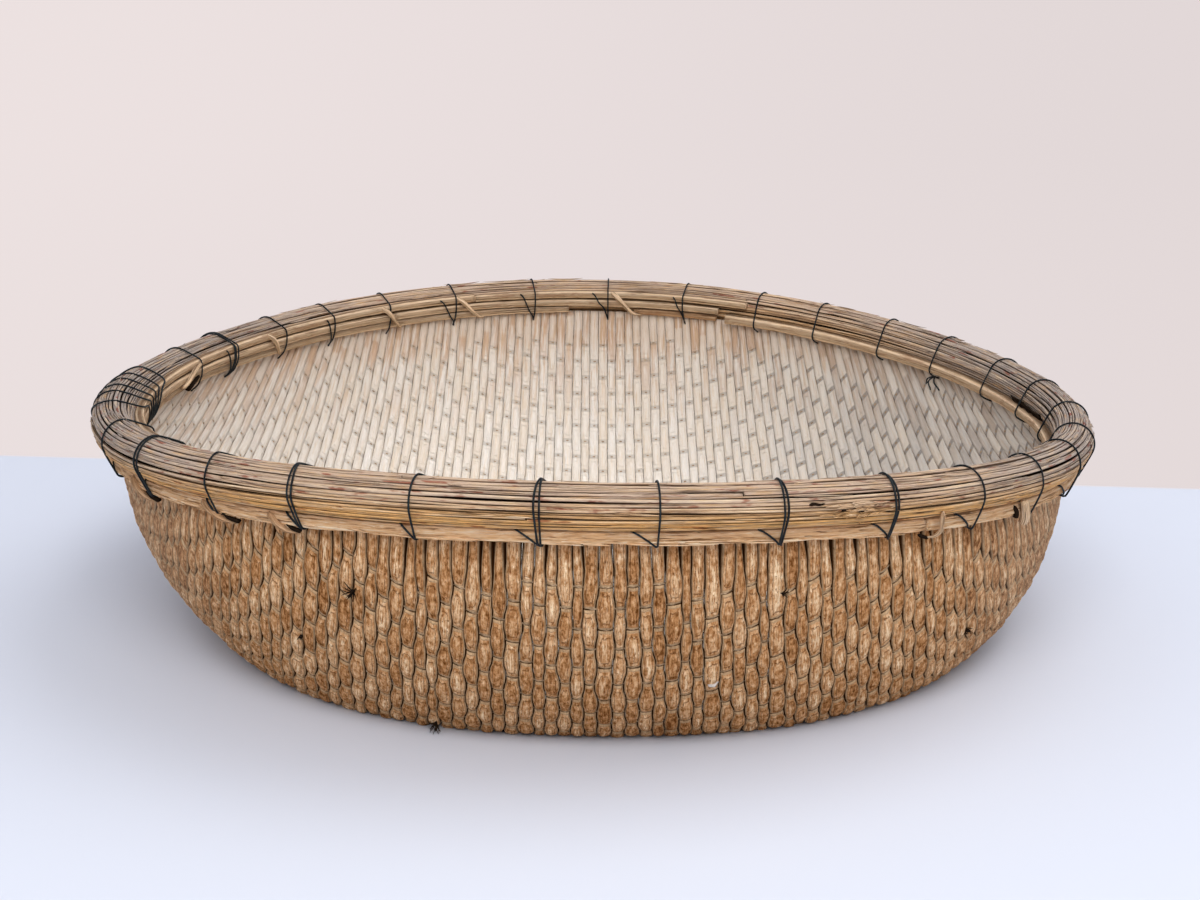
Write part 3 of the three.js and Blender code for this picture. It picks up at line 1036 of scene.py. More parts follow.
@dataclass
class WovenBowl:
    """The bowl: willow rods from front to back, and the thin cords woven across them."""

    form: BowlForm
    finish: WillowFinish = WillowFinish()
    cord_finish: HempFinish = HempFinish()
    front_cord_step: float = 13.85
    back_cord_step: float = 14.6
    front_top: float = 33.0
    back_top: float = 19.0
    left_rise: float = 15.0
    left_rods: tuple[float, float] = (14.0, 9.0)
    side_clearance: float = 9.0
    tuck: float = 1.2
    waist: float = 0.22
    outer_height: float = 3.9
    inner_height: float = 3.4
    outer_floor: float = 0.2
    inner_floor: float = 0.8
    sides: int = 12
    per_cord: tuple[float, ...] = (0.0, 0.05, 0.15, 0.36, 0.64, 0.85, 0.95)
    top_rings: int = 11
    top_cords: float = 2.4
    cells: int = 96
    first_outer_cell: int = 48
    first_inner_cell: int = 17
    full_climb: float = 140.0
    front_lean: float = 1.9
    back_lean: float = 0.7
    front_slit: float = 8.0
    back_slit: float = 2.0
    left_slit: float = 0.4
    last_left_rod: int = -15
    bulge_range: tuple[float, float] = (0.86, 1.1)
    outer_bluntness: float = 0.34
    inner_bluntness: float = 0.5
    side_section: float = 0.8
    inner_section: float = 0.34
    outer_section: float = 0.7
    outer_width: float = 0.49
    inner_width: float = 0.54
    inner_share: float = 0.35
    grain_step: float = 1000.0
    rods_per_piece: int = 15
    rods_before: int = 60
    cord_radius: float = 0.55
    cord_lift: float = 0.4
    cord_sides: int = 5

    def __post_init__(self) -> None:
        """Lay out the rods and find where each one's last cord is."""
        self.field = WeaveField(self.form)
        low, high = min(self.field.columns), max(self.field.columns)
        self.rods = [k for k in range(low // 2, high // 2 + 2) if 2 * k - 1 >= low and 2 * k + 1 <= high]
        self.last = {k: self._last_cords(k) for k in self.rods}

    def _near(self, k: int) -> list[Column]:
        """Return the lines along a rod's left edge, its middle and its right edge."""
        return [self.field.columns[2 * k + i] for i in (-1, 0, 1)]

    def _last_cords(self, k: int) -> tuple[int, int]:
        """Return how many cords cross a rod in front of the middle and behind it.

        Args:
            k: The rod's number.

        Returns:
            Both counts.
        """
        near = self._near(k)
        first, span = self.left_rods
        front_top = self.front_top - self.left_rise * float(ease((-k - first) / span))
        counts = []
        for side, pitch, top in (
            ("front", self.front_cord_step, front_top),
            ("back", self.back_cord_step, self.back_top),
        ):
            least = min(getattr(column, side) for column in near)
            room = min(getattr(near[1], side) - top, least - self.side_clearance)
            counts.append(max(int(room // pitch), 0))
        return counts[0], counts[1]

    def cord_place(self, number: Array) -> Array:
        """Return the length along a rod at which a cord lies: cords in front have numbers below 0."""
        number = np.asarray(number, float)
        return np.where(number < 0.0, number * self.front_cord_step, number * self.back_cord_step)

    def edge(self, boundary: int, cord: Array) -> Array:
        """Return how far the line between two rods strays from its even place.

        Args:
            boundary: The line to the right of the rod with this number.
            cord: Where along the line, as a cord number.

        Returns:
            The stray, across the rods.
        """
        steady = 0.13 * float(chance(Seed.EDGE, boundary).uniform(-1.0, 1.0))
        fine = 0.14 * wander(Seed.EDGE_FINE + boundary, cord, 1.4)
        long = 0.10 * wander(Seed.EDGE_LONG + boundary, cord, 7.0)
        return self.field.pitch * (steady + (fine + long))

    def lean(self, boundary: int, cord: Array) -> Array:
        """Return how far the line between two rods leans by the time it reaches the hoop.

        Args:
            boundary: The line to the right of the rod with this number.
            cord: Where along the line, as a cord number.

        Returns:
            The lean, across the rods.
        """
        front, back = chance(Seed.LEAN, boundary).uniform(-1.0, 1.0, 2)
        return np.where(cord < 0.0, self.front_lean * front, self.back_lean * back)

    def slit(self, boundary: int, cord: Array) -> Array:
        """Return how far two rods stand apart where they go up under the hoop.

        Args:
            boundary: The line to the right of the rod with this number.
            cord: Where along the line, as a cord number.

        Returns:
            The width of the slit between them.
        """
        draws = chance(Seed.SLIT, boundary).uniform(0.0, 1.0, 4)
        front = self.front_slit * max(draws[0] - 0.45, 0.0) * (1.0 + 0.5 * (draws[1] > 0.7))
        back = self.back_slit * max(draws[2] - 0.5, 0.0)
        left = boundary < self.last_left_rod
        return np.where(cord < 0.0, front * (self.left_slit if left else 1.0), back)

    def build_rod(self, piece: Piece, k: int) -> None:
        """Add one rod to a piece.

        Args:
            piece: The piece that holds it.
            k: Its number, 0 in the middle of the basket.
        """
        columns = self._near(k)
        front, back = self.last[k]
        gap = np.linspace(0.0, 1.0, self.top_rings)[1:]
        cords = np.concatenate([j + np.array(self.per_cord) for j in range(-front, back)] + [[float(back)]])
        body = self.cord_place(cords)
        places = []
        for column in columns:
            low_end = body[0] + (-column.front - self.tuck - body[0]) * gap[::-1]
            high_end = body[-1] + (column.back + self.tuck - body[-1]) * gap
            places.append(np.concatenate([low_end, body, high_end]))
        cord = np.concatenate([-front - self.top_cords * gap[::-1], cords, back + self.top_cords * gap])
        rise = np.concatenate([gap[::-1], np.zeros(len(cords)), gap])

        phase = math.pi * (cord - k)
        notch = np.abs(np.sin(0.5 * phase))
        inner = np.abs(np.cos(0.5 * phase))
        opening = ease(rise * 5.0)
        for beyond, last in ((cord < -front, front), (cord > back, back)):
            outside = (last + k) % 2 == 0
            notch = np.where(beyond, opening if outside else 1.0, notch)
            inner = np.where(beyond, 1.0 if outside else opening, inner)
        wave = signed_power(np.cos(phase), 0.5) * (1.0 - ease(rise * 2.0))

        draws = chance(Seed.ROD, k)
        cells = draws.uniform(0.0, 1.0, self.cells)
        bulges = draws.uniform(*self.bulge_range, self.cells)
        rod_tint = float(draws.uniform(0.0, 1.0))
        outer_cell = (np.floor(0.5 * (cord - k)).astype(int) + self.first_outer_cell) % self.cells
        inner_cell = (np.floor(0.5 * (cord - k + 1.0)).astype(int) + self.first_inner_cell) % self.cells
        outer_height = self.outer_height * between(self.outer_floor, 1.0, notch**self.outer_bluntness)
        outer_height = outer_height * bulges[outer_cell]
        inner_height = self.inner_height * between(self.inner_floor, 1.0, inner**self.inner_bluntness)

        mesh, ring, turn = STOCK.tube(len(cord), self.sides)
        c, s = np.cos(turn), np.sin(turn)
        outer = s >= 0.0
        across = signed_power(c, self.side_section)
        thickness = signed_power(s, np.where(outer, self.outer_section, self.inner_section))
        side = np.clip(signed_power(s, 0.5), -1.0, 1.0)
        half = 0.5 * self.field.pitch
        half_thickness = 0.5 * self.form.thickness
        narrow = self.waist * half * between(self.inner_share, 1.0, side) * wave[ring]
        steady = between(self.inner_share, 1.0, ease(0.5 + 0.5 * side))
        edges = []
        for boundary, sign in ((k - 1, -1.0), (k, 1.0)):
            stray = self.edge(boundary, cord) + self.lean(boundary, cord) * rise
            slit = 0.5 * ease(rise * 1.1) * self.slit(boundary, cord)
            inset = narrow + slit[ring] * np.clip(side, 0.0, 1.0)
            edges.append(sign * (half - inset) + stray[ring] * steady)
        middle, width = 0.5 * (edges[0] + edges[1]), edges[1] - edges[0]
        u = middle + across * np.where(s < -0.1, self.inner_width, self.outer_width) * width

        q = u / half
        points, normals = np.zeros((len(ring), 3)), np.zeros((len(ring), 3))
        weights = (0.5 * q * (q - 1.0), 1.0 - q * q, 0.5 * q * (q + 1.0))
        for weight, column, place in zip(weights, columns, places):
            point, normal = column.at(place, self.field.step)
            points += weight[:, None] * point[ring]
            normals += weight[:, None] * normal[ring]
        height = thickness * np.where(outer, outer_height[ring], inner_height[ring])
        points += unit(normals) * height[:, None]

        length = places[1][ring] + self.grain_step * (k + self.rods_before)
        grain = np.stack([length, u, thickness * half_thickness], axis=1)
        cell = np.stack([across, np.where(outer, notch[ring], inner[ring]), s], axis=1)
        cell_tint = cells[np.where(outer, outer_cell[ring], inner_cell[ring])]
        climb = np.clip(points[:, 2] / self.full_climb, 0.0, 1.0)
        tint = np.stack([np.full(len(ring), rod_tint), cell_tint, climb], axis=1)
        piece.add_shaped(mesh, points, grain, cell, tint)

    def build_cords(self, material: bpy.types.Material) -> None:
        """Build the cords: in front, on the floor's middle line and behind.

        Args:
            material: Their finish.
        """
        most_front = max(front for front, _ in self.last.values())
        most_back = max(back for _, back in self.last.values())
        pieces = {"cords_front": range(-most_front, 0), "cords_back": range(0, most_back + 1)}
        for name, numbers in pieces.items():
            piece = Piece(name)
            for number in numbers:
                held = [k for k, (front, back) in self.last.items() if -front <= number <= back]
                if len(held) > 3:
                    self._build_cord(piece, number, held)
            piece.close(material, Slot.WILLOW)

    def _build_cord(self, piece: Piece, number: int, held: Sequence[int]) -> None:
        """Add one cord that passes over and under the rods that it crosses.

        Args:
            piece: The piece that holds it.
            number: Its number, below 0 in front.
            held: The rods that it crosses, from left to right.
        """
        place = np.array([float(self.cord_place(number))])
        over_lift = self.outer_height * self.outer_floor + self.cord_lift
        under_lift = -self.inner_height * self.inner_floor - self.cord_lift
        centre, up = [], []
        for m in range(2 * held[0] - 1, 2 * held[-1] + 2):
            point, normal = self.field.columns[m].at(place, self.field.step)
            lift = 0.0
            if m % 2 == 0:
                lift = over_lift if (number + m // 2) % 2 == 0 else under_lift
            centre.append(point[0] + normal[0] * lift)
            up.append(normal[0])
        centre, up = np.array(centre), np.array(up)
        fine = np.linspace(0.0, len(centre) - 1.0, 2 * len(centre) - 1)
        low = np.minimum(fine.astype(int), len(centre) - 2)
        share = (fine - low)[:, None]
        lift = np.sum((centre[low + 1] - centre[low]) * up[low], axis=1, keepdims=True)
        path = between(centre[low], centre[low + 1], share) + up[low] * lift * (ease(share) - share)
        facing = unit(between(up[low], up[low + 1], share))
        size = np.full(len(path), self.cord_radius)
        offset = 0.5 * self.grain_step * (number + self.rods_before)
        piece.add(Strand(path, facing, size, size, offset=offset), self.cord_sides)

    def build(self) -> None:
        """Build the rods and the cords."""
        material = self.finish.material()
        for count, first in enumerate(range(0, len(self.rods), self.rods_per_piece), 1):
            piece = Piece(f"willow_rods_{count}")
            for k in self.rods[first : first + self.rods_per_piece]:
                self.build_rod(piece, k)
            piece.close(material, Slot.WILLOW, ["woven_bowl"])
        self.build_cords(self.cord_finish.material())


@dataclass
class RimBundle:
    """The bundle on the edge: thin split strips laid side by side round a dark core."""

    rim: RimLine
    radius: float = 13.6
    strips: int = 46
    strip_thickness: float = 2.4
    first_end: float = 184.0
    end_step: float = 137.5
    strip_run: float = 359.8
    spacing: float = 6.5
    splinters: int = 420
    frays: int = 46
    finish: WoodFinish = WoodFinish(
        name="weathered_strip",
        dark=(0.06, 0.026, 0.012),
        middle=(0.63, 0.365, 0.175),
        pale=(0.98, 0.78, 0.54),
        weathered=(0.60, 0.455, 0.36),
        weathering=0.8,
        stain=(0.30, 0.06, 0.025),
        stain_share=0.75,
        warm=(0.98, 0.54, 0.19),
        warmth=0.95,
        edge_shade=0.9,
        greying_and_shade=0.8,
    )
    # near-black; LooseEnds reuses it for the dark pieces that paint the shade in hollows, holes and gaps
    core_finish: WoodFinish = WoodFinish(
        name="bundle_core",
        dark=(0.012, 0.008, 0.006),
        middle=(0.018, 0.011, 0.007),
        pale=(0.035, 0.022, 0.014),
        weathered=(0.03, 0.02, 0.014),
        weathering=0.3,
        stain=(0.02, 0.01, 0.01),
        stain_share=0.2,
        gloss=0.0,
    )

    def build(self) -> None:
        """Build the strips and give the core its finish."""
        nodes = sorted(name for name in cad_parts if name.startswith("rim_strip_"))
        material = self.finish.material()
        count = int(2.0 * math.pi * self.rim.half_width / self.spacing)
        draws = chance(Seed.STRIPS)
        shares = draws.uniform(0.6, 1.4, self.strips)
        shares = shares / np.sum(shares)
        middles = 90.0 + 360.0 * (np.cumsum(shares) - 0.5 * shares)
        thick = np.full(count, 0.5 * self.strip_thickness)
        for part in range(2):
            piece = Piece(f"rim_strips_{part + 1}")
            for k in range(part, self.strips, 2):
                start = self.first_end + k * self.end_step
                angles = np.linspace(start, start + self.strip_run, count)
                arc = np.radians(angles) * self.rim.half_width
                turn = middles[k] + 3.0 * wander(Seed.STRIP_TURN + k, arc, 160.0)
                turn = turn + 1.5 * wander(Seed.STRIP_FINE_TURN + k, arc, 45.0)
                half = math.pi * self.radius * shares[k] * draws.uniform(0.84, 0.99)
                sunk = 0.9 * max(float(draws.uniform(-1.5, 1.0)), 0.0)
                reach = self.radius - 0.5 * self.strip_thickness - sunk
                reach = reach + 0.5 * wander(Seed.STRIP_REACH + k, arc, 120.0)
                reach = reach + 0.25 * wander(Seed.STRIP_FINE_REACH + k, arc, 30.0)
                wide = half * (1.0 + 0.18 * wander(Seed.STRIP_WIDTH + k, arc, 60.0))
                tint = (float(draws.uniform()), float(draws.uniform()), 0.0)
                finish = {"square": 2.3, "tint": tint, "offset": 3000.0 * k}
                piece.add(self._laid(angles, reach, np.radians(turn), (wide, thick), **finish), 8)
            piece.close(material, Slot.STRIP, nodes if part == 0 else ())
        self._splinters(material)
        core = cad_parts["rim_core"]
        core.data.materials.clear()
        core.data.materials.append(self.core_finish.material())

    def _laid(
        self, angles: Array, reach: Array, direction: Array, size: tuple[Array, Array], **finish: Any
    ) -> Strand:
        """Return a strand that lies along the bundle.

        Args:
            angles: Where round the rim its points are.
            reach: How far they lie from the bundle's middle, where the lap doesn't swell it.
            direction: In which direction from there, in radians.
            size: Half of its width and half of its thickness.
            finish: The strand's other values.

        Returns:
            The strand.
        """
        centre = self.rim.section(angles, reach + self.rim.swell(angles), direction)
        up = unit(centre - self.rim.point(angles, 0.0, 0.0))
        facing = np.stack([np.sin(direction), np.cos(direction)], axis=1)
        return Strand(centre, up, *size, cell=facing, **finish)

    def _splinters(self, material: bpy.types.Material) -> None:
        """Build the thin fibres that have come loose on the strips, the first of them at the break.

        Args:
            material: Their finish.
        """
        piece = Piece("rim_splinters")
        draws = chance(Seed.SPLINTERS)
        for number in range(self.splinters):
            frayed = number < self.frays
            angle = float(draws.uniform(0.0, 360.0))
            turn = float(draws.uniform(-50.0, 150.0))
            if frayed:
                angle, turn = float(draws.normal(294.6, 1.5)), float(draws.uniform(-22.0, 12.0))
            longest, highest, thickest = (20.0, 3.4, 1.25) if frayed else (46.0, 1.2, 0.7)
            span = float(draws.uniform(7.0, longest)) / self.rim.half_width
            angles = angle + np.degrees(np.linspace(0.0, span, 9))
            lift = self.radius + 0.1 + draws.uniform(0.0, highest) * np.linspace(-1.0, 1.0, 9) ** 2
            direction = np.radians(turn + np.linspace(0.0, draws.uniform(-5.0, 5.0), 9))
            size = draws.uniform(0.28, thickest) * np.sin(np.linspace(0.25, math.pi - 0.1, 9))
            tint = (float(draws.uniform()), 0.5, 0.5)
            piece.add(self._laid(angles, lift, direction, (size, size), tint=tint, offset=90.0 * number), 5)
        piece.close(material, Slot.STRIP)


@dataclass
class Hoops:
    """The laths of the outer hoop and the rods of the inner hoop."""

    rim: RimLine
    joints: tuple[float, ...] = (91.0, 206.0, 305.0, 321.0)
    names: tuple[str, ...] = ("outer_hoop_left", "outer_hoop_front", "outer_hoop_short", "outer_hoop_back")
    out: float = 0.95
    up: float = -17.7
    half_width: float = 4.1
    half_height: float = 3.85
    bundle_radius: float = 13.6
    seat: float = 0.35
    thin_radius: float = 3.5
    thick_radius: float = 4.5
    first_turn: float = 168.0
    thick_turn: float = 215.0
    frays_per_degree: float = 1.1
    lath_gap: float = 0.21
    ends: dict[str, tuple[float, ...]] = field(
        default_factory=lambda: {
            "high": (66.0, 109.0, 231.0, 268.0),
            "middle": (70.5, 122.0, 228.0, 269.5),
            "low": (94.0, 271.0),
            "thick": (272.5, 429.5),
        }
    )
    finish: WoodFinish = WoodFinish(
        name="pale_lath",
        dark=(0.24, 0.11, 0.045),
        middle=(0.86, 0.51, 0.25),
        pale=(1.0, 0.84, 0.60),
        weathered=(0.78, 0.58, 0.42),
        weathering=0.3,
        stain=(0.46, 0.17, 0.06),
        stain_share=0.5,
        flakes=0.9,
        fineness=0.6,
    )
    rod_finish: WoodFinish = WoodFinish(
        name="hoop_rod",
        dark=(0.13, 0.065, 0.03),
        middle=(0.72, 0.47, 0.27),
        pale=(1.0, 0.80, 0.57),
        weathered=(0.66, 0.50, 0.37),
        weathering=0.4,
        edge_shade=0.5,
        gap_shade=0.85,
        stain=(0.30, 0.12, 0.05),
        stain_share=0.4,
        flakes=0.5,
    )

    def seat_of(self, rod: str) -> tuple[float, float, float]:
        """Return an inner rod's radius, its distance from the bundle's middle and its direction.

        Args:
            rod: The rod's tier, or thick.

        Returns:
            Its radius, the distance, and the direction in degrees.
        """
        if rod == "thick":
            return self.thick_radius, self.bundle_radius + self.thick_radius + self.seat, self.thick_turn
        reach = self.bundle_radius + self.thin_radius + self.seat
        step = math.degrees(2.0 * math.asin((self.thin_radius + 0.5 * self.seat) / reach))
        return self.thin_radius, reach, self.first_turn + step * ("high", "middle", "low").index(rod)

    def build(self) -> None:
        """Build every lath and rod, each in place of its solid."""
        material = self.finish.material()
        rod_material = self.rod_finish.material()
        for index, name in enumerate(self.names):
            start = self.joints[index]
            end = self.joints[(index + 1) % len(self.joints)]
            end = end if end > start else end + 360.0
            self._lath(name, start + self.lath_gap, end - self.lath_gap, material, index)
        for rod, ends in self.ends.items():
            for part in range(len(ends) - 1):
                name = f"inner_hoop_{rod}" + (f"_{part + 1}" if len(ends) > 2 else "")
                self._rod(name, rod, ends[part], ends[part + 1], rod_material)

    def _lath(self, name: str, start: float, end: float, material: bpy.types.Material, seed: int) -> None:
        """Build one lath of the outer hoop, with the fibres that fray from its lower edge.

        Args:
            name: The CAD node that it stands for.
            start: Angle of its first end.
            end: Angle of its last end.
            material: Its finish.
            seed: Which of the random lines it follows.
        """
        count = max(int(abs(end - start) * 6.0 / 4.0), 4)
        angles = np.linspace(start, end, count)
        arc = np.radians(angles) * self.rim.half_width
        up = self.up - self.rim.swell(angles) + 0.35 * wander(Seed.LATH_UP + seed, arc, 90.0)
        out = self.out + 0.4 * wander(Seed.LATH_OUT + seed, arc, 70.0)
        wide = self.half_width * (1.0 + 0.05 * wander(Seed.LATH_WIDTH + seed, arc, 25.0))
        thick = self.half_height * (1.0 + 0.07 * wander(Seed.LATH_HEIGHT + seed, arc, 18.0))
        piece = Piece("lath_" + name)
        centre = self.rim.point(angles, out, up)
        piece.add(Strand(centre, UPRIGHT, wide, thick, 2.7, offset=900.0 * seed, ragged=0.11), 16)
        draws = chance(Seed.LATH_FRAYS, seed)
        for number in range(int(abs(end - start) * self.frays_per_degree)):
            first = float(draws.uniform(start + 1.0, end - 5.0))
            angles = first + np.degrees(np.linspace(0.0, draws.uniform(9.0, 34.0), 7) / self.rim.half_width)
            drop = draws.uniform(0.0, 1.0) * np.linspace(0.0, 1.0, 7) ** 2
            height = draws.uniform(-21.6, -19.0) - drop - self.rim.swell(angles)
            out = 4.9 - 0.35 * np.abs(height + 19.0) + draws.uniform(0.0, 0.5)
            size = draws.uniform(0.3, 0.75) * np.sin(np.linspace(0.3, math.pi - 0.2, 7))
            tint = (float(draws.uniform()), 0.5, 0.5)
            line = self.rim.point(angles, out, height)
            piece.add(Strand(line, UPRIGHT, size, size, tint=tint, offset=70.0 * number), 5)
        piece.close(material, Slot.LATH, [name])

    def _rod(self, name: str, rod: str, start: float, end: float, material: bpy.types.Material) -> None:
        """Build one rod of the inner hoop.

        Args:
            name: The CAD node that it stands for.
            rod: Its tier, or thick.
            start: Angle of its first end.
            end: Angle of its last end.
            material: Its finish.
        """
        count = max(int(abs(end - start) * 6.0 / 4.5), 4)
        angles = np.linspace(start + 0.1, end - 0.1, count)
        arc = np.radians(angles) * self.rim.half_width
        seed = sum(map(ord, name))
        radius, reach, turn = self.seat_of(rod)
        reach = reach + self.rim.swell(angles) - 0.2 + 0.3 * wander(seed, arc, 80.0)
        direction = math.radians(turn) + 0.02 * wander(seed + 1, arc, 120.0)
        size = radius * (0.95 + 0.06 * wander(seed + 2, arc, 60.0))
        piece = Piece("rod_" + name)
        centre = self.rim.section(angles, reach, direction)
        finish = {"tint": (0.7, 0.5, 0.5), "offset": 10.0 * seed, "ragged": 0.05}
        piece.add(Strand(centre, UPRIGHT, size, size, 2.2, **finish), 10)
        piece.close(material, Slot.LATH, [name])


@dataclass
class WireTies:
    """The ties: each a loop of dark wire through the wall and round hoops and bundle."""

    rim: RimLine
    hoops: Hoops
    angles: tuple[float, ...] = (
        8.0, 19.5, 32.0, 43.0, 54.5, 64.5, 76.0, 88.0, 99.5, 112.0, 123.0, 133.0, 142.5, 153.5, 162.0,
        205.0, 216.5, 229.0, 240.5, 253.0, 265.0, 276.0, 288.0, 300.0, 311.0, 322.0, 333.0, 343.5, 356.0,
    )
    doubled: tuple[float, ...] = (216.5, 240.5, 265.0, 288.0, 300.0)
    tripled: tuple[float, ...] = (153.5,)
    radius: float = 0.64
    seat: float = 0.35
    steps: int = 46
    sides: int = 6
    knot_angle: float = 32.0
    slant: float = 9.0
    slanted: tuple[float, float] = (190.0, 250.0)
    slack: float = 2.6
    slack_start: tuple[float, float] = (292.0, 18.0)
    slack_end: tuple[float, float] = (341.0, 12.0)
    inner_tails: tuple[float, ...] = (76.0, 88.0, 99.5, 112.0, 133.0, 153.5)
    hoop_corner: tuple[float, float, float] = (3.45, -19.85, 1.6)
    wall_corner: tuple[float, float, float] = (-10.5, -18.0, 0.0)
    finish: WireFinish = WireFinish()

    def circles(self, angle: float) -> list[tuple[float, float, float]]:
        """Return the circles, out, up and radius, that a wire goes round at an angle.

        Args:
            angle: Where round the rim.

        Returns:
            The circles.
        """
        swell = float(self.rim.swell(angle))
        found = [(0.0, 0.0, self.hoops.bundle_radius + swell)]
        found += [(out, up - swell, radius) for out, up, radius in (self.hoop_corner, self.wall_corner)]
        for rod, ends in self.hoops.ends.items():
            if (angle - ends[0]) % 360.0 + ends[0] <= ends[-1]:
                radius, reach, turn = self.hoops.seat_of(rod)
                turn = math.radians(turn)
                found.append(((reach + swell) * math.cos(turn), (reach + swell) * math.sin(turn), radius))
        return found

    def tight(self, angle: float, direction: float, off: float) -> Array:
        """Return where a wire drawn tight lies, seen in one direction from inside it.

        Args:
            angle: Where round the rim.
            direction: The direction in the section, 0 outwards and 90 up.
            off: How far the wire's middle stands off what it binds.

        Returns:
            The point.
        """
        x, y = math.cos(math.radians(direction)), math.sin(math.radians(direction))
        best = max(self.circles(angle), key=lambda circle: circle[0] * x + circle[1] * y + circle[2])
        reach = best[2] + off
        return self.rim.point(angle, best[0] + reach * x, best[1] + reach * y)

    def loop(self, angle: float, shift: Array, first: float, last: float, off: Array) -> Array:
        """Return the points of a loop.

        Args:
            angle: Its place round the rim.
            shift: How far each point lies further round, in millimetres.
            first: Direction of its first point in the section.
            last: Direction of its last point.
            off: How far each point stands off what it binds.

        Returns:
            The points, one row each.
        """
        directions = np.linspace(first, last, len(shift))
        rows = [
            self.tight(self.rim.along(angle, float(s)), float(d), float(o))
            for s, d, o in zip(shift, directions, np.broadcast_to(off, shift.shape))
        ]
        return rounded(np.array(rows), 2)

    def add_wire(self, piece: Piece, points: Array, offset: float) -> None:
        """Add a wire along points that it passes through smoothly.

        Args:
            piece: The piece that holds it.
            points: The points, one row each.
            offset: Where its grain starts.
        """
        path = smooth_path(points, 1.6)
        ahead = unit(np.gradient(path, axis=0))
        size = np.full(len(path), self.radius)
        piece.add(Strand(path, carried_up(ahead), size, size, offset=offset), self.sides)

    def build(self) -> None:
        """Build every tie in place of its solid."""
        material = self.finish.material()
        nodes = sorted(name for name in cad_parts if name.startswith("wire_tie_"))
        turns = np.linspace(0.0, 1.0, self.steps)
        for count, (angle, node) in enumerate(zip(self.angles, nodes), 1):
            piece = Piece(f"tie_{count:02d}")
            draws = chance(Seed.TIE, count)
            lean = draws.uniform(-1.2, 1.2)
            shift = lean * np.sin(turns * math.pi * 2.0) + draws.uniform(-0.6, 0.6)
            if self.slanted[0] < angle < self.slanted[1]:
                shift = shift - self.slant * np.sin(math.pi * np.minimum(turns / 0.7, 1.0)) ** 2
            off = self._stand_off(angle, turns)
            self.add_wire(piece, self.loop(angle, shift, -90.0, -450.0, off), 100.0 * count)
            more = 1 if angle in self.doubled else 2 if angle in self.tripled else 0
            for strand in range(more):
                cross = draws.uniform(2.4, 3.4) * np.sin(turns * math.pi * 2.0 + 0.3 + 2.4 * strand)
                second = self.loop(angle, shift + cross, -92.0, -448.0, off + 0.5)
                self.add_wire(piece, second, 100.0 * count + 50.0)
            self._tail(piece, angle, draws, 100.0 * count + 75.0)
            if angle in self.inner_tails:
                self._inner_tail(piece, angle, draws, 100.0 * count + 85.0)
            if angle == self.knot_angle:
                self._knot(piece, angle)
            piece.close(material, Slot.WIRE, [node])

    def _stand_off(self, angle: float, turns: Array) -> Array:
        """Return how far a loop stands off what it binds: on the right it hangs slack in front.

        Args:
            angle: The tie's place round the rim.
            turns: Where round the loop, from 0 to 1.

        Returns:
            How far each point stands off.
        """
        begun = ease((angle - self.slack_start[0]) / self.slack_start[1])
        left = ease((self.slack_end[0] - angle) / self.slack_end[1])
        slack = self.slack * float(begun * left)
        return self.radius + self.seat + slack * np.exp(-(((turns - 0.87) / 0.09) ** 2))

    def _inner_tail(self, piece: Piece, angle: float, draws: np.random.Generator, offset: float) -> None:
        """Add the end that runs down over the inner rods to the foot of the tie.

        Args:
            piece: The piece that holds it.
            angle: The tie's place round the rim.
            draws: The tie's random values.
            offset: Where its grain starts.
        """
        reach = draws.uniform(9.0, 17.0)
        rows = []
        for share in np.linspace(0.0, 1.0, 12).tolist():
            place = self.rim.along(angle, reach * (1.0 - share))
            rows.append(self.tight(place, 160.0 + 70.0 * share, self.radius + 0.5))
        rows.append(self.rim.point(angle, self.wall_corner[0] + 0.5, self.wall_corner[1] - 2.0))
        self.add_wire(piece, rounded(np.array(rows), 4), offset)

    def _knot(self, piece: Piece, angle: float) -> None:
        """Add the curled ends of the wire that hang at the foot of one tie.

        Args:
            piece: The piece that holds them.
            angle: The tie's place round the rim.
        """
        for reach, drop, curl in ((9.0, 7.0, 2.6), (-8.0, 9.0, 2.0), (4.0, 11.0, 3.0)):
            rows = []
            for t in np.linspace(0.0, 1.0, 16):
                bend = 5.0 * float(t)
                place = self.rim.along(angle, reach * float(t) + curl * math.sin(bend))
                out = -13.5 - 2.5 * float(t) + curl * (math.cos(bend) - 1.0) * 0.5
                rows.append(self.rim.point(place, out, -17.0 - drop * float(t)))
            self.add_wire(piece, np.array(rows), 9000.0 + drop)

    def _tail(self, piece: Piece, angle: float, draws: np.random.Generator, offset: float) -> None:
        """Add the end that comes from between bundle and hoop down to a small twisted knot.

        Args:
            piece: The piece that holds it.
            angle: The tie's place round the rim.
            draws: The tie's random values.
            offset: Where its grain starts.
        """
        reach = draws.uniform(9.0, 15.0)
        swell = float(self.rim.swell(angle))
        out = np.array([3.2, 5.6, 6.1, 6.0, 4.6, 1.5])
        up = np.array([-13.2, -14.4, -17.0, -20.0, -22.4, -23.0]) - swell
        back = np.array([1.1, 0.85, 0.55, 0.25, 0.06, 0.0]) * -reach
        rows = [self.rim.point(self.rim.along(angle, float(b)), o, u) for b, o, u in zip(back, out, up)]
        self.add_wire(piece, np.array(rows), offset)


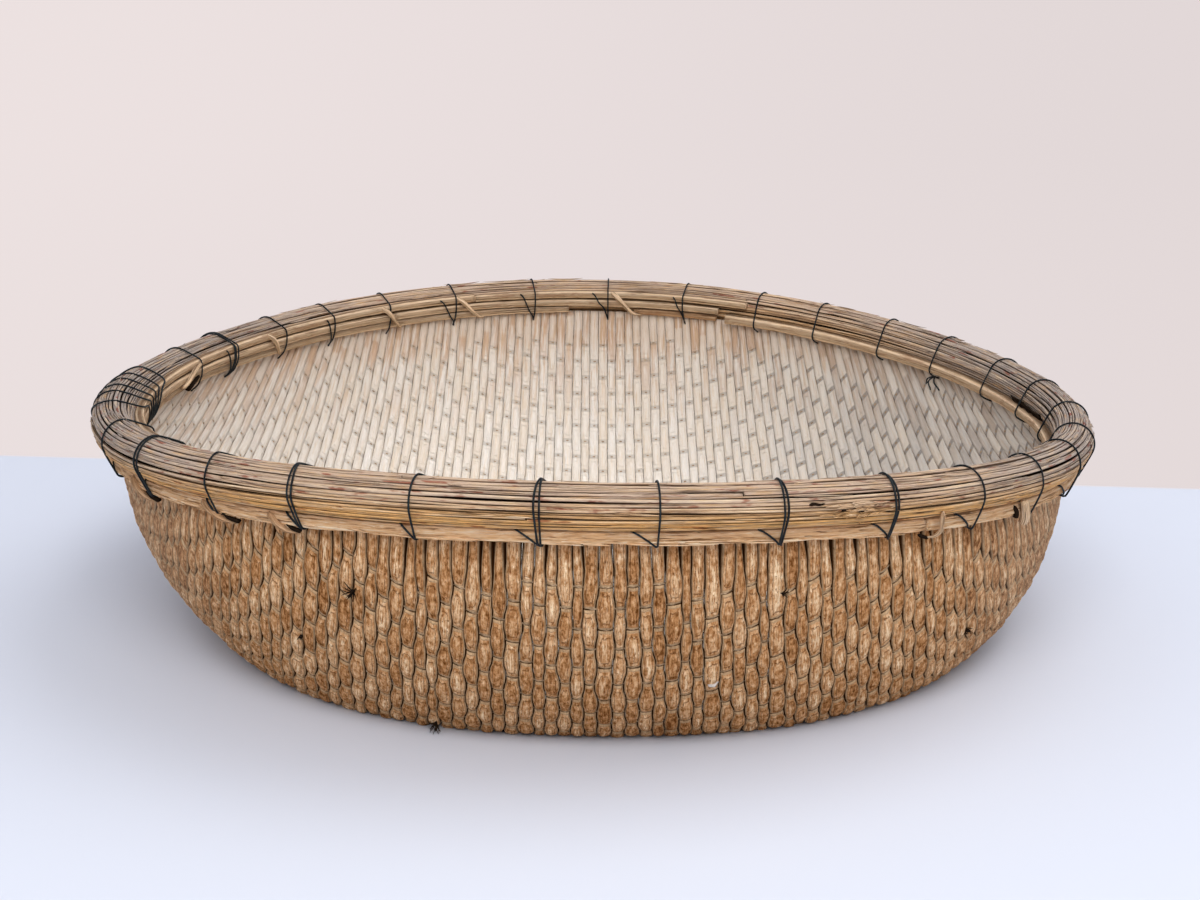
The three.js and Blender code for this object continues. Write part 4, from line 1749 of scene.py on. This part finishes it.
def smooth_path(points: Array, step: float) -> Array:
    """Return a smooth line through points, sampled evenly.

    Args:
        points: The points, one row each.
        step: Length between two samples.

    Returns:
        The samples, one row each.
    """
    padded = np.concatenate([[2.0 * points[0] - points[1]], points, [2.0 * points[-1] - points[-2]]])
    rows = []
    for i in range(1, len(padded) - 2):
        p0, p1, p2, p3 = padded[i - 1 : i + 3]
        for t in np.linspace(0.0, 1.0, 8, endpoint=False):
            bend = (-p0 + 3.0 * p1 - 3.0 * p2 + p3) * t**3 + (2.0 * p0 - 5.0 * p1 + 4.0 * p2 - p3) * t**2
            rows.append(0.5 * (2.0 * p1 + (p2 - p0) * t + bend))
    rows.append(points[-1])
    fine = np.array(rows)
    length = lengths_along(fine)
    even = np.linspace(0.0, length[-1], max(int(length[-1] / step), 3) + 1)
    return read_between(fine, length, even)


def rounded(points: Array, times: int) -> Array:
    """Return a line with its corners rounded, its ends kept.

    Args:
        points: The points, one row each.
        times: How often each point moves towards its neighbours.

    Returns:
        The points moved.
    """
    for _ in range(times):
        inner = 0.25 * points[:-2] + 0.5 * points[1:-1] + 0.25 * points[2:]
        points = np.concatenate([points[:1], inner, points[-1:]])
    return points


def carried_up(ahead: Array) -> Array:
    """Return a direction square to each step of a path, turned as little as possible along it.

    Args:
        ahead: The path's direction at each of its points.

    Returns:
        The directions, one row each.
    """
    start = UPRIGHT if abs(ahead[0, 2]) < 0.9 else np.array([1.0, 0.0, 0.0])
    rows = [unit(start - ahead[0] * float(start @ ahead[0]))]
    for direction in ahead[1:]:
        rows.append(unit(rows[-1] - direction * float(rows[-1] @ direction)))
    return np.array(rows)


@dataclass
class Lashing:
    """Close turns of wire over the lap joint of the bundle, fanned out on top."""

    ties: WireTies
    turns: int = 6
    angle: float = 183.0
    top_pitch: float = 25.0
    hole_pitch: float = 6.5
    steps_per_turn: int = 40

    def build(self) -> None:
        """Build the lashing in place of its solid."""
        rim = self.ties.rim
        rows = []
        total = self.turns * self.steps_per_turn
        draws = chance(Seed.LASHING)
        jitter = draws.uniform(-10.0, 10.0, self.turns + 1)
        for i in range(total + 1):
            turn = i / self.steps_per_turn
            spread = math.sin(math.pi * (turn % 1.0)) ** 4
            pitch = self.hole_pitch + (self.top_pitch - self.hole_pitch) * spread
            wobble = jitter[min(int(turn), self.turns)] * spread
            place = rim.along(self.angle, (turn - 0.5 * self.turns) * pitch + wobble)
            rows.append(self.ties.tight(place, -90.0 - turn * 360.0, self.ties.radius + 0.3))
        piece = Piece("lashing")
        self.ties.add_wire(piece, rounded(np.array(rows), 3), 7000.0)
        piece.close(self.ties.finish.material(), Slot.WIRE, ["end_lashing"])


@dataclass(frozen=True)
class Twig:
    """A short piece of wood, or a dark piece that paints the shade in a gap, that shows beside the hoops.

    Attributes:
        dark: Whether it is a dark piece that paints the shade in a gap.
        angles: Where round the rim its points are.
        out: How far out from the bundle's middle they lie.
        up: How far above it they lie.
        size: Its radius at both ends, and its thickness as a share of its width.
    """

    dark: bool
    angles: tuple[float, ...]
    out: tuple[float, ...]
    up: tuple[float, ...]
    size: tuple[float, float, float]


# Each group: a pale piece of wood, and a dark piece that paints the shade in the gap beside it.
HOOK = (
    Twig(
        False,
        (306.1, 306.25, 306.4, 306.5, 306.0, 305.0),
        (10.4, 9.4, 8.2, 6.8, 5.0, 3.2),
        (-8.5, -12.5, -17.0, -21.5, -25.0, -25.6),
        (2.6, 0.9, 0.6),
    ),
    Twig(True, (304.1, 304.7, 305.2), (2.6, 3.2, 3.0), (-23.6, -25.0, -26.0), (1.6, 1.6, 0.7)),
)
ROD_END = (
    Twig(
        False,
        (321.8, 321.2, 320.5, 319.9),
        (2.8, 6.2, 8.2, 9.2),
        (-30.0, -24.5, -18.5, -12.6),
        (3.4, 2.8, 0.85),
    ),
    Twig(True, (318.9, 319.3, 319.7), (4.8, 5.6, 4.2), (-15.5, -19.0, -23.0), (1.8, 2.2, 0.8)),
)
CURL = (
    Twig(
        False,
        (161.0, 163.4, 165.4, 167.0, 167.6, 167.2),
        (-17.5, -20.6, -22.6, -22.8, -20.6, -18.0),
        (4.0, 2.0, -1.0, -5.0, -8.0, -8.6),
        (2.8, 1.3, 0.7),
    ),
    Twig(True, (162.6, 164.6, 166.4), (-19.8, -21.4, -20.4), (-5.0, -7.5, -11.0), (1.5, 2.6, 0.7)),
)


@dataclass
class LooseEnds:
    """Bent rod ends, hooks and tufts that stick out by the hoops and on the wall."""

    rim: RimLine
    form: BowlForm
    hoops: Hoops
    # finish of the dark pieces: painted shade in hollows, holes and gaps, and the dark tufts
    dark_finish: WoodFinish
    brown_finish: WoodFinish = WoodFinish(
        name="brown_rod",
        dark=(0.10, 0.045, 0.02),
        middle=(0.46, 0.25, 0.12),
        pale=(0.78, 0.53, 0.33),
        weathered=(0.48, 0.33, 0.22),
        weathering=0.3,
        stain=(0.30, 0.12, 0.05),
        stain_share=0.4,
    )
    fibre_finish: HempFinish = HempFinish((0.85, 0.80, 0.76), (0.45, 0.41, 0.38), 1.1, "pale_fibre")
    twigs: tuple[Twig, ...] = HOOK + ROD_END + CURL
    bent_ends: tuple[tuple[float, float], ...] = ((211.0, 217.0), (226.6, 231.6), (236.4, 239.8))
    inner_tips: tuple[tuple[float, float], ...] = (
        (112.2, 107.3),
        (87.6, 82.8),
        (124.6, 120.6),
        (146.0, 142.8),
    )
    short_rod: tuple[float, float] = (84.0, 71.0)
    hollow: tuple[float, float] = (13.0, 2.0)
    break_holes: tuple[tuple[float, float, float, float], ...] = (
        (290.2, 12.0, 9.0, 1.0),
        (293.4, -6.0, 7.0, 1.3),
        (295.2, -12.0, 8.0, 1.5),
        (296.3, 2.0, 6.0, 1.0),
        (298.4, -16.0, 10.0, 0.9),
    )
    tufts: tuple[tuple[float, float, int, float], ...] = (
        (244.8, 0.684, 18, 8.0),
        (250.3, 0.04, 16, 9.0),
        (289.3, 0.724, 9, 4.5),
        (317.9, 0.371, 9, 4.5),
        (236.0, 0.42, 5, 4.0),
    )
    wisp: tuple[float, float] = (282.5, 0.338)

    def build(self) -> None:
        """Build the rod ends, the dark pieces that paint the shade in the hollows behind them, and the
        tufts.
        """
        pale, brown, dark = Piece("rod_ends"), Piece("bent_ends"), Piece("painted_shade_and_tufts")
        for first, last in self.bent_ends:
            self._bent_end(brown, dark, first, last)
        for first, last in self.inner_tips:
            self._inner_tip(pale, first, last)
        for twig in self.twigs:
            line = self.rim.point(twig.angles, twig.out, twig.up)
            self.add_twig(dark if twig.dark else pale, line, *twig.size)
        self._hollow(dark)
        self._break(dark)
        self._tufts(dark)
        self.add_twig(brown, self.rim.point(np.linspace(*self.short_rod, 6), -13.8, -10.4), 3.3, 3.0)
        pale.close(self.hoops.rod_finish.material(), Slot.LATH)
        brown.close(self.brown_finish.material(), Slot.LATH)
        dark.close(self.dark_finish.material(), Slot.CORE)
        self._wisps()

    def add_twig(self, piece: Piece, points: Array, root: float, tip: float, flat: float = 1.0) -> None:
        """Add a thin piece of wood that narrows towards its tip.

        Args:
            piece: The piece that holds it.
            points: The places that it passes through.
            root: Its radius at the first of them.
            tip: Its radius at the last.
            flat: How thick it is, as a share of its width.
        """
        path = smooth_path(points, 1.2)
        share = np.linspace(0.0, 1.0, len(path))
        size = (root + (tip - root) * share**1.6) * np.minimum(1.0, 0.35 + 6.0 * share)
        up = carried_up(unit(np.gradient(path, axis=0)))
        offset = float(np.sum(points[0])) % 977.0
        piece.add(Strand(path, up, size, size * flat, tint=(0.6, 0.5, 0.5), offset=offset), 8)

    def _bent_end(self, brown: Piece, dark: Piece, first: float, last: float) -> None:
        """Add a horn-like rod end that comes out from behind a lath, and a dark piece that paints the shade
        of the hole by its tip.

        Args:
            brown: The piece that holds the rod end.
            dark: The piece that holds the hole's painted shade.
            first: Angle of its root.
            last: Angle of its tip.
        """
        angles = np.linspace(first, last, 5)
        horn = self.rim.point(angles, (4.0, 5.4, 5.6, 4.8, 3.4), (-15.0, -19.5, -23.0, -25.2, -26.0))
        self.add_twig(brown, horn, 3.5, 0.7, 0.6)
        # dark piece that paints the shade of the hole by the tip
        hole = self.rim.point(angles[2:] + 0.35, (3.6, 4.2, 3.4), (-20.6, -23.2, -24.6))
        self.add_twig(dark, hole, 1.4, 2.2, 0.6)

    def _inner_tip(self, pale: Piece, first: float, last: float) -> None:
        """Add a rod end that lies slantwise over the inner rods.

        Args:
            pale: The piece that holds it.
            first: Angle of its root.
            last: Angle of its tip.
        """
        turn = np.radians([158.0, 176.0, 194.0, 212.0, 226.0])
        reach = np.array([17.0, 22.6, 23.2, 22.4, 19.5])
        self.add_twig(pale, self.rim.section(np.linspace(first, last, 5), reach, turn), 2.7, 0.8, 0.75)

    def _hollow(self, dark: Piece) -> None:
        """Add dark bits that paint the shade in the hollow between bundle and rod inside the right end.

        Args:
            dark: The piece that holds them.
        """
        draws = chance(Seed.HOLLOW)
        for _ in range(6):
            angles = np.linspace(*self.hollow, 6) + draws.uniform(-1.0, 1.0, 6)
            out = np.array([-12.6, -14.2, -15.0, -15.0, -14.2, -12.6]) + draws.uniform(-0.8, 0.8, 6)
            up = draws.uniform(-2.2, 2.2, 6) - 6.0
            self.add_twig(dark, self.rim.point(angles, out, up), 0.9, 0.7)

    def _break(self, dark: Piece) -> None:
        """Add dark pieces that paint the shade in the holes among the broken strips of the bundle.

        Args:
            dark: The piece that holds them.
        """
        reach = self.hoops.bundle_radius - 0.2
        for angle, turn, length, size in self.break_holes:
            angles = angle + np.linspace(0.0, length / 5.9, 4)
            direction = np.radians(turn + np.array([0.0, 2.0, -1.0, 1.0]))
            self.add_twig(dark, self.rim.section(angles, reach, direction), size, 0.4 * size)

    def _on_wall(self, angle: float, level: float) -> tuple[Array, Array]:
        """Return a place on the outer face of the wall, and the outward direction there.

        Args:
            angle: Where round the rim.
            level: How far up the wall, from 0 to 1.

        Returns:
            The place and the direction.
        """
        place = (np.array(angle), np.array(level))
        return self.form.point(*place), self.form.normal(*place)

    def _tufts(self, dark: Piece) -> None:
        """Add the short dark fibres that stand out of the weave.

        Args:
            dark: The piece that holds them.
        """
        draws = chance(Seed.TUFTS)
        for angle, level, count, length in self.tufts:
            root, normal = self._on_wall(angle, level)
            self.add_twig(dark, np.stack([root - 1.5 * normal, root, root + 0.9 * normal]), 1.2, 1.0)
            for _ in range(count):
                reach = unit(normal + draws.uniform(-1.1, 1.1, 3)) * draws.uniform(0.5, 1.0) * length
                reach[2] = max(reach[2], 1.0 - root[2])
                bend = draws.uniform(-1.0, 1.0, 3)
                self.add_twig(dark, np.stack([root, root + 0.5 * reach + bend, root + reach]), 0.42, 0.14)

    def _wisps(self) -> None:
        """Add the pale loose fibres on the outside of the wall."""
        piece = Piece("pale_wisps")
        draws = chance(Seed.WISPS)
        root, normal = self._on_wall(*self.wisp)
        side = unit(np.cross(UPRIGHT, normal))
        for _ in range(4):
            span = side * draws.uniform(2.0, 3.6) + UPRIGHT * draws.uniform(-2.0, 2.0)
            lift = normal * draws.uniform(1.2, 2.4)
            rows = np.stack([root - span + lift * 0.8, root + lift * 1.6, root + span + lift * 0.7])
            self.add_twig(piece, rows, 0.6, 0.4)
        piece.close(self.fibre_finish.material(), Slot.WILLOW)


@dataclass(frozen=True)
class StudioFinish:
    """The sheet under the basket, and the plain backdrop, a glow of painted light, that the camera sees
    beyond its edge.
    """

    sheet: Colour = (0.66, 0.69, 0.78)
    backdrop_left: Colour = (0.84, 0.755, 0.75)
    backdrop_right: Colour = (0.76, 0.685, 0.685)
    edge: float = 0.357
    slant: float = -0.078
    softness: float = 0.004

    def material(self) -> bpy.types.Material:
        """Return the material of the whole stage.

        Returns:
            The material.
        """
        board = NodeBoard("studio_stage")
        x, y, _ = board.parts(board.add("ShaderNodeNewGeometry", None, None, "Position"))
        beyond = (y - x * self.slant).step(self.edge - self.softness, self.edge + self.softness)
        seen = board.add("ShaderNodeLightPath", None, None, "Is Camera Ray")
        # painted light: the backdrop glows instead of being lit, a little brighter on the left than on the
        # right
        tone = board.mix(x.step(-1.5, 1.5), self.backdrop_left, self.backdrop_right)
        plain = board.add("ShaderNodeEmission", None, {"Color": tone, "Strength": 1.0})
        matt = {"Base Color": (*self.sheet, 1.0), "Roughness": 0.9}
        sheet = board.add("ShaderNodeBsdfPrincipled", None, matt)
        shown = board.add("ShaderNodeMixShader", None, {0: beyond * seen, 1: sheet, 2: plain})
        board.add("ShaderNodeOutputMaterial", None, {"Surface": shown})
        return board.material


@dataclass
class Studio:
    """The pale sheet, the backdrop, the lamps and the camera."""

    finish: StudioFinish = StudioFinish()
    camera_place: tuple[float, float, float] = (0.0, -1.416, 0.478)
    lens: float = 60.0
    pitch: float = 14.45
    roll: float = 0.49
    pan: float = 0.18
    sky: Colour = (0.97, 0.975, 1.0)
    sky_top: float = 0.80
    sky_low: float = 0.48
    sky_reach: float = 0.6
    lamps: tuple[tuple[str, tuple[float, float, float], float, float], ...] = (
        ("lamp_over", (1.6, 0.4, 3.1), 37.0, 2.6),
        ("lamp_front", (0.0, -2.3, 2.1), 46.0, 1.6),
    )
    lamp_aim: tuple[float, float, float] = (0.0, 0.0, 0.08)

    def build(self) -> None:
        """Build the stage, the light and the camera."""
        material = self.finish.material()
        self._sheet("floor", material, (0.0, 1.6, 0.0), 0.0)
        self._sheet("backdrop", material, (0.0, 3.2, 1.0), 90.0)
        self._light()
        self._camera()

    def _sheet(
        self, name: str, material: bpy.types.Material, place: tuple[float, float, float], lean: float
    ) -> None:
        """Build one plain sheet of the stage.

        Args:
            name: Its name.
            material: Its finish.
            place: Its middle.
            lean: How far it is turned up from lying flat.
        """
        shape = bmesh.new()
        bmesh.ops.create_grid(shape, x_segments=1, y_segments=1, size=6.0)
        turn = Matrix.Rotation(math.radians(lean), 4, "X")
        bmesh.ops.transform(shape, matrix=Matrix.Translation(place) @ turn, verts=shape.verts)
        mesh = mesh_of(name, shape)
        mesh.materials.append(material)
        placed(name, mesh)

    def _light(self) -> None:
        """Add the world's even light and the soft lamps."""
        world = bpy.data.worlds.new("studio")
        bpy.context.scene.world = world
        board = NodeBoard("sky", world)
        _, _, rise = board.parts(board.add("ShaderNodeTexCoord", None, None, "Generated"))
        strength = rise.step(0.0, self.sky_reach) * (self.sky_top - self.sky_low) + self.sky_low
        sky = board.add("ShaderNodeBackground", None, {"Color": (*self.sky, 1.0), "Strength": strength})
        board.add("ShaderNodeOutputWorld", None, {"Surface": sky})
        for name, place, power, size in self.lamps:
            lamp = bpy.data.lights.new(name, "AREA")
            lamp.energy = power
            lamp.size = size
            holder = placed(name, lamp)
            holder.location = place
            aim = Vector(self.lamp_aim) - Vector(place)
            holder.rotation_euler = aim.to_track_quat("-Z", "Y").to_euler()

    def _camera(self) -> None:
        """Add the camera at the photograph's place."""
        camera = bpy.data.cameras.new("camera")
        camera.lens = self.lens
        camera.sensor_width = 36.0
        pan, tilt = math.radians(self.pan), math.radians(self.pitch)
        ahead = Vector((math.sin(pan) * math.cos(tilt), math.cos(pan) * math.cos(tilt), -math.sin(tilt)))
        facing = ahead.to_track_quat("-Z", "Y").to_matrix().to_4x4()
        turn = Matrix.Rotation(math.radians(self.roll), 4, "Z")
        holder = placed("camera", camera)
        holder.matrix_world = Matrix.Translation(self.camera_place) @ facing @ turn
        bpy.context.scene.camera = holder
        bpy.context.scene.view_settings.view_transform = "Standard"


def main() -> None:
    """Build the basket and its studio."""
    logging.basicConfig(level=logging.INFO, format="%(name)s: %(message)s")
    rim = RimLine()
    form = BowlForm(rim)
    hoops = Hoops(rim)
    ties = WireTies(rim, hoops)
    Studio().build()
    bundle = RimBundle(rim)
    loose_ends = LooseEnds(rim, form, hoops, bundle.core_finish)
    for assembly in (WovenBowl(form), bundle, hoops, ties, Lashing(ties), loose_ends):
        assembly.build()
        log.info("%s is built", type(assembly).__name__)


if __name__ == "__main__":
    main()
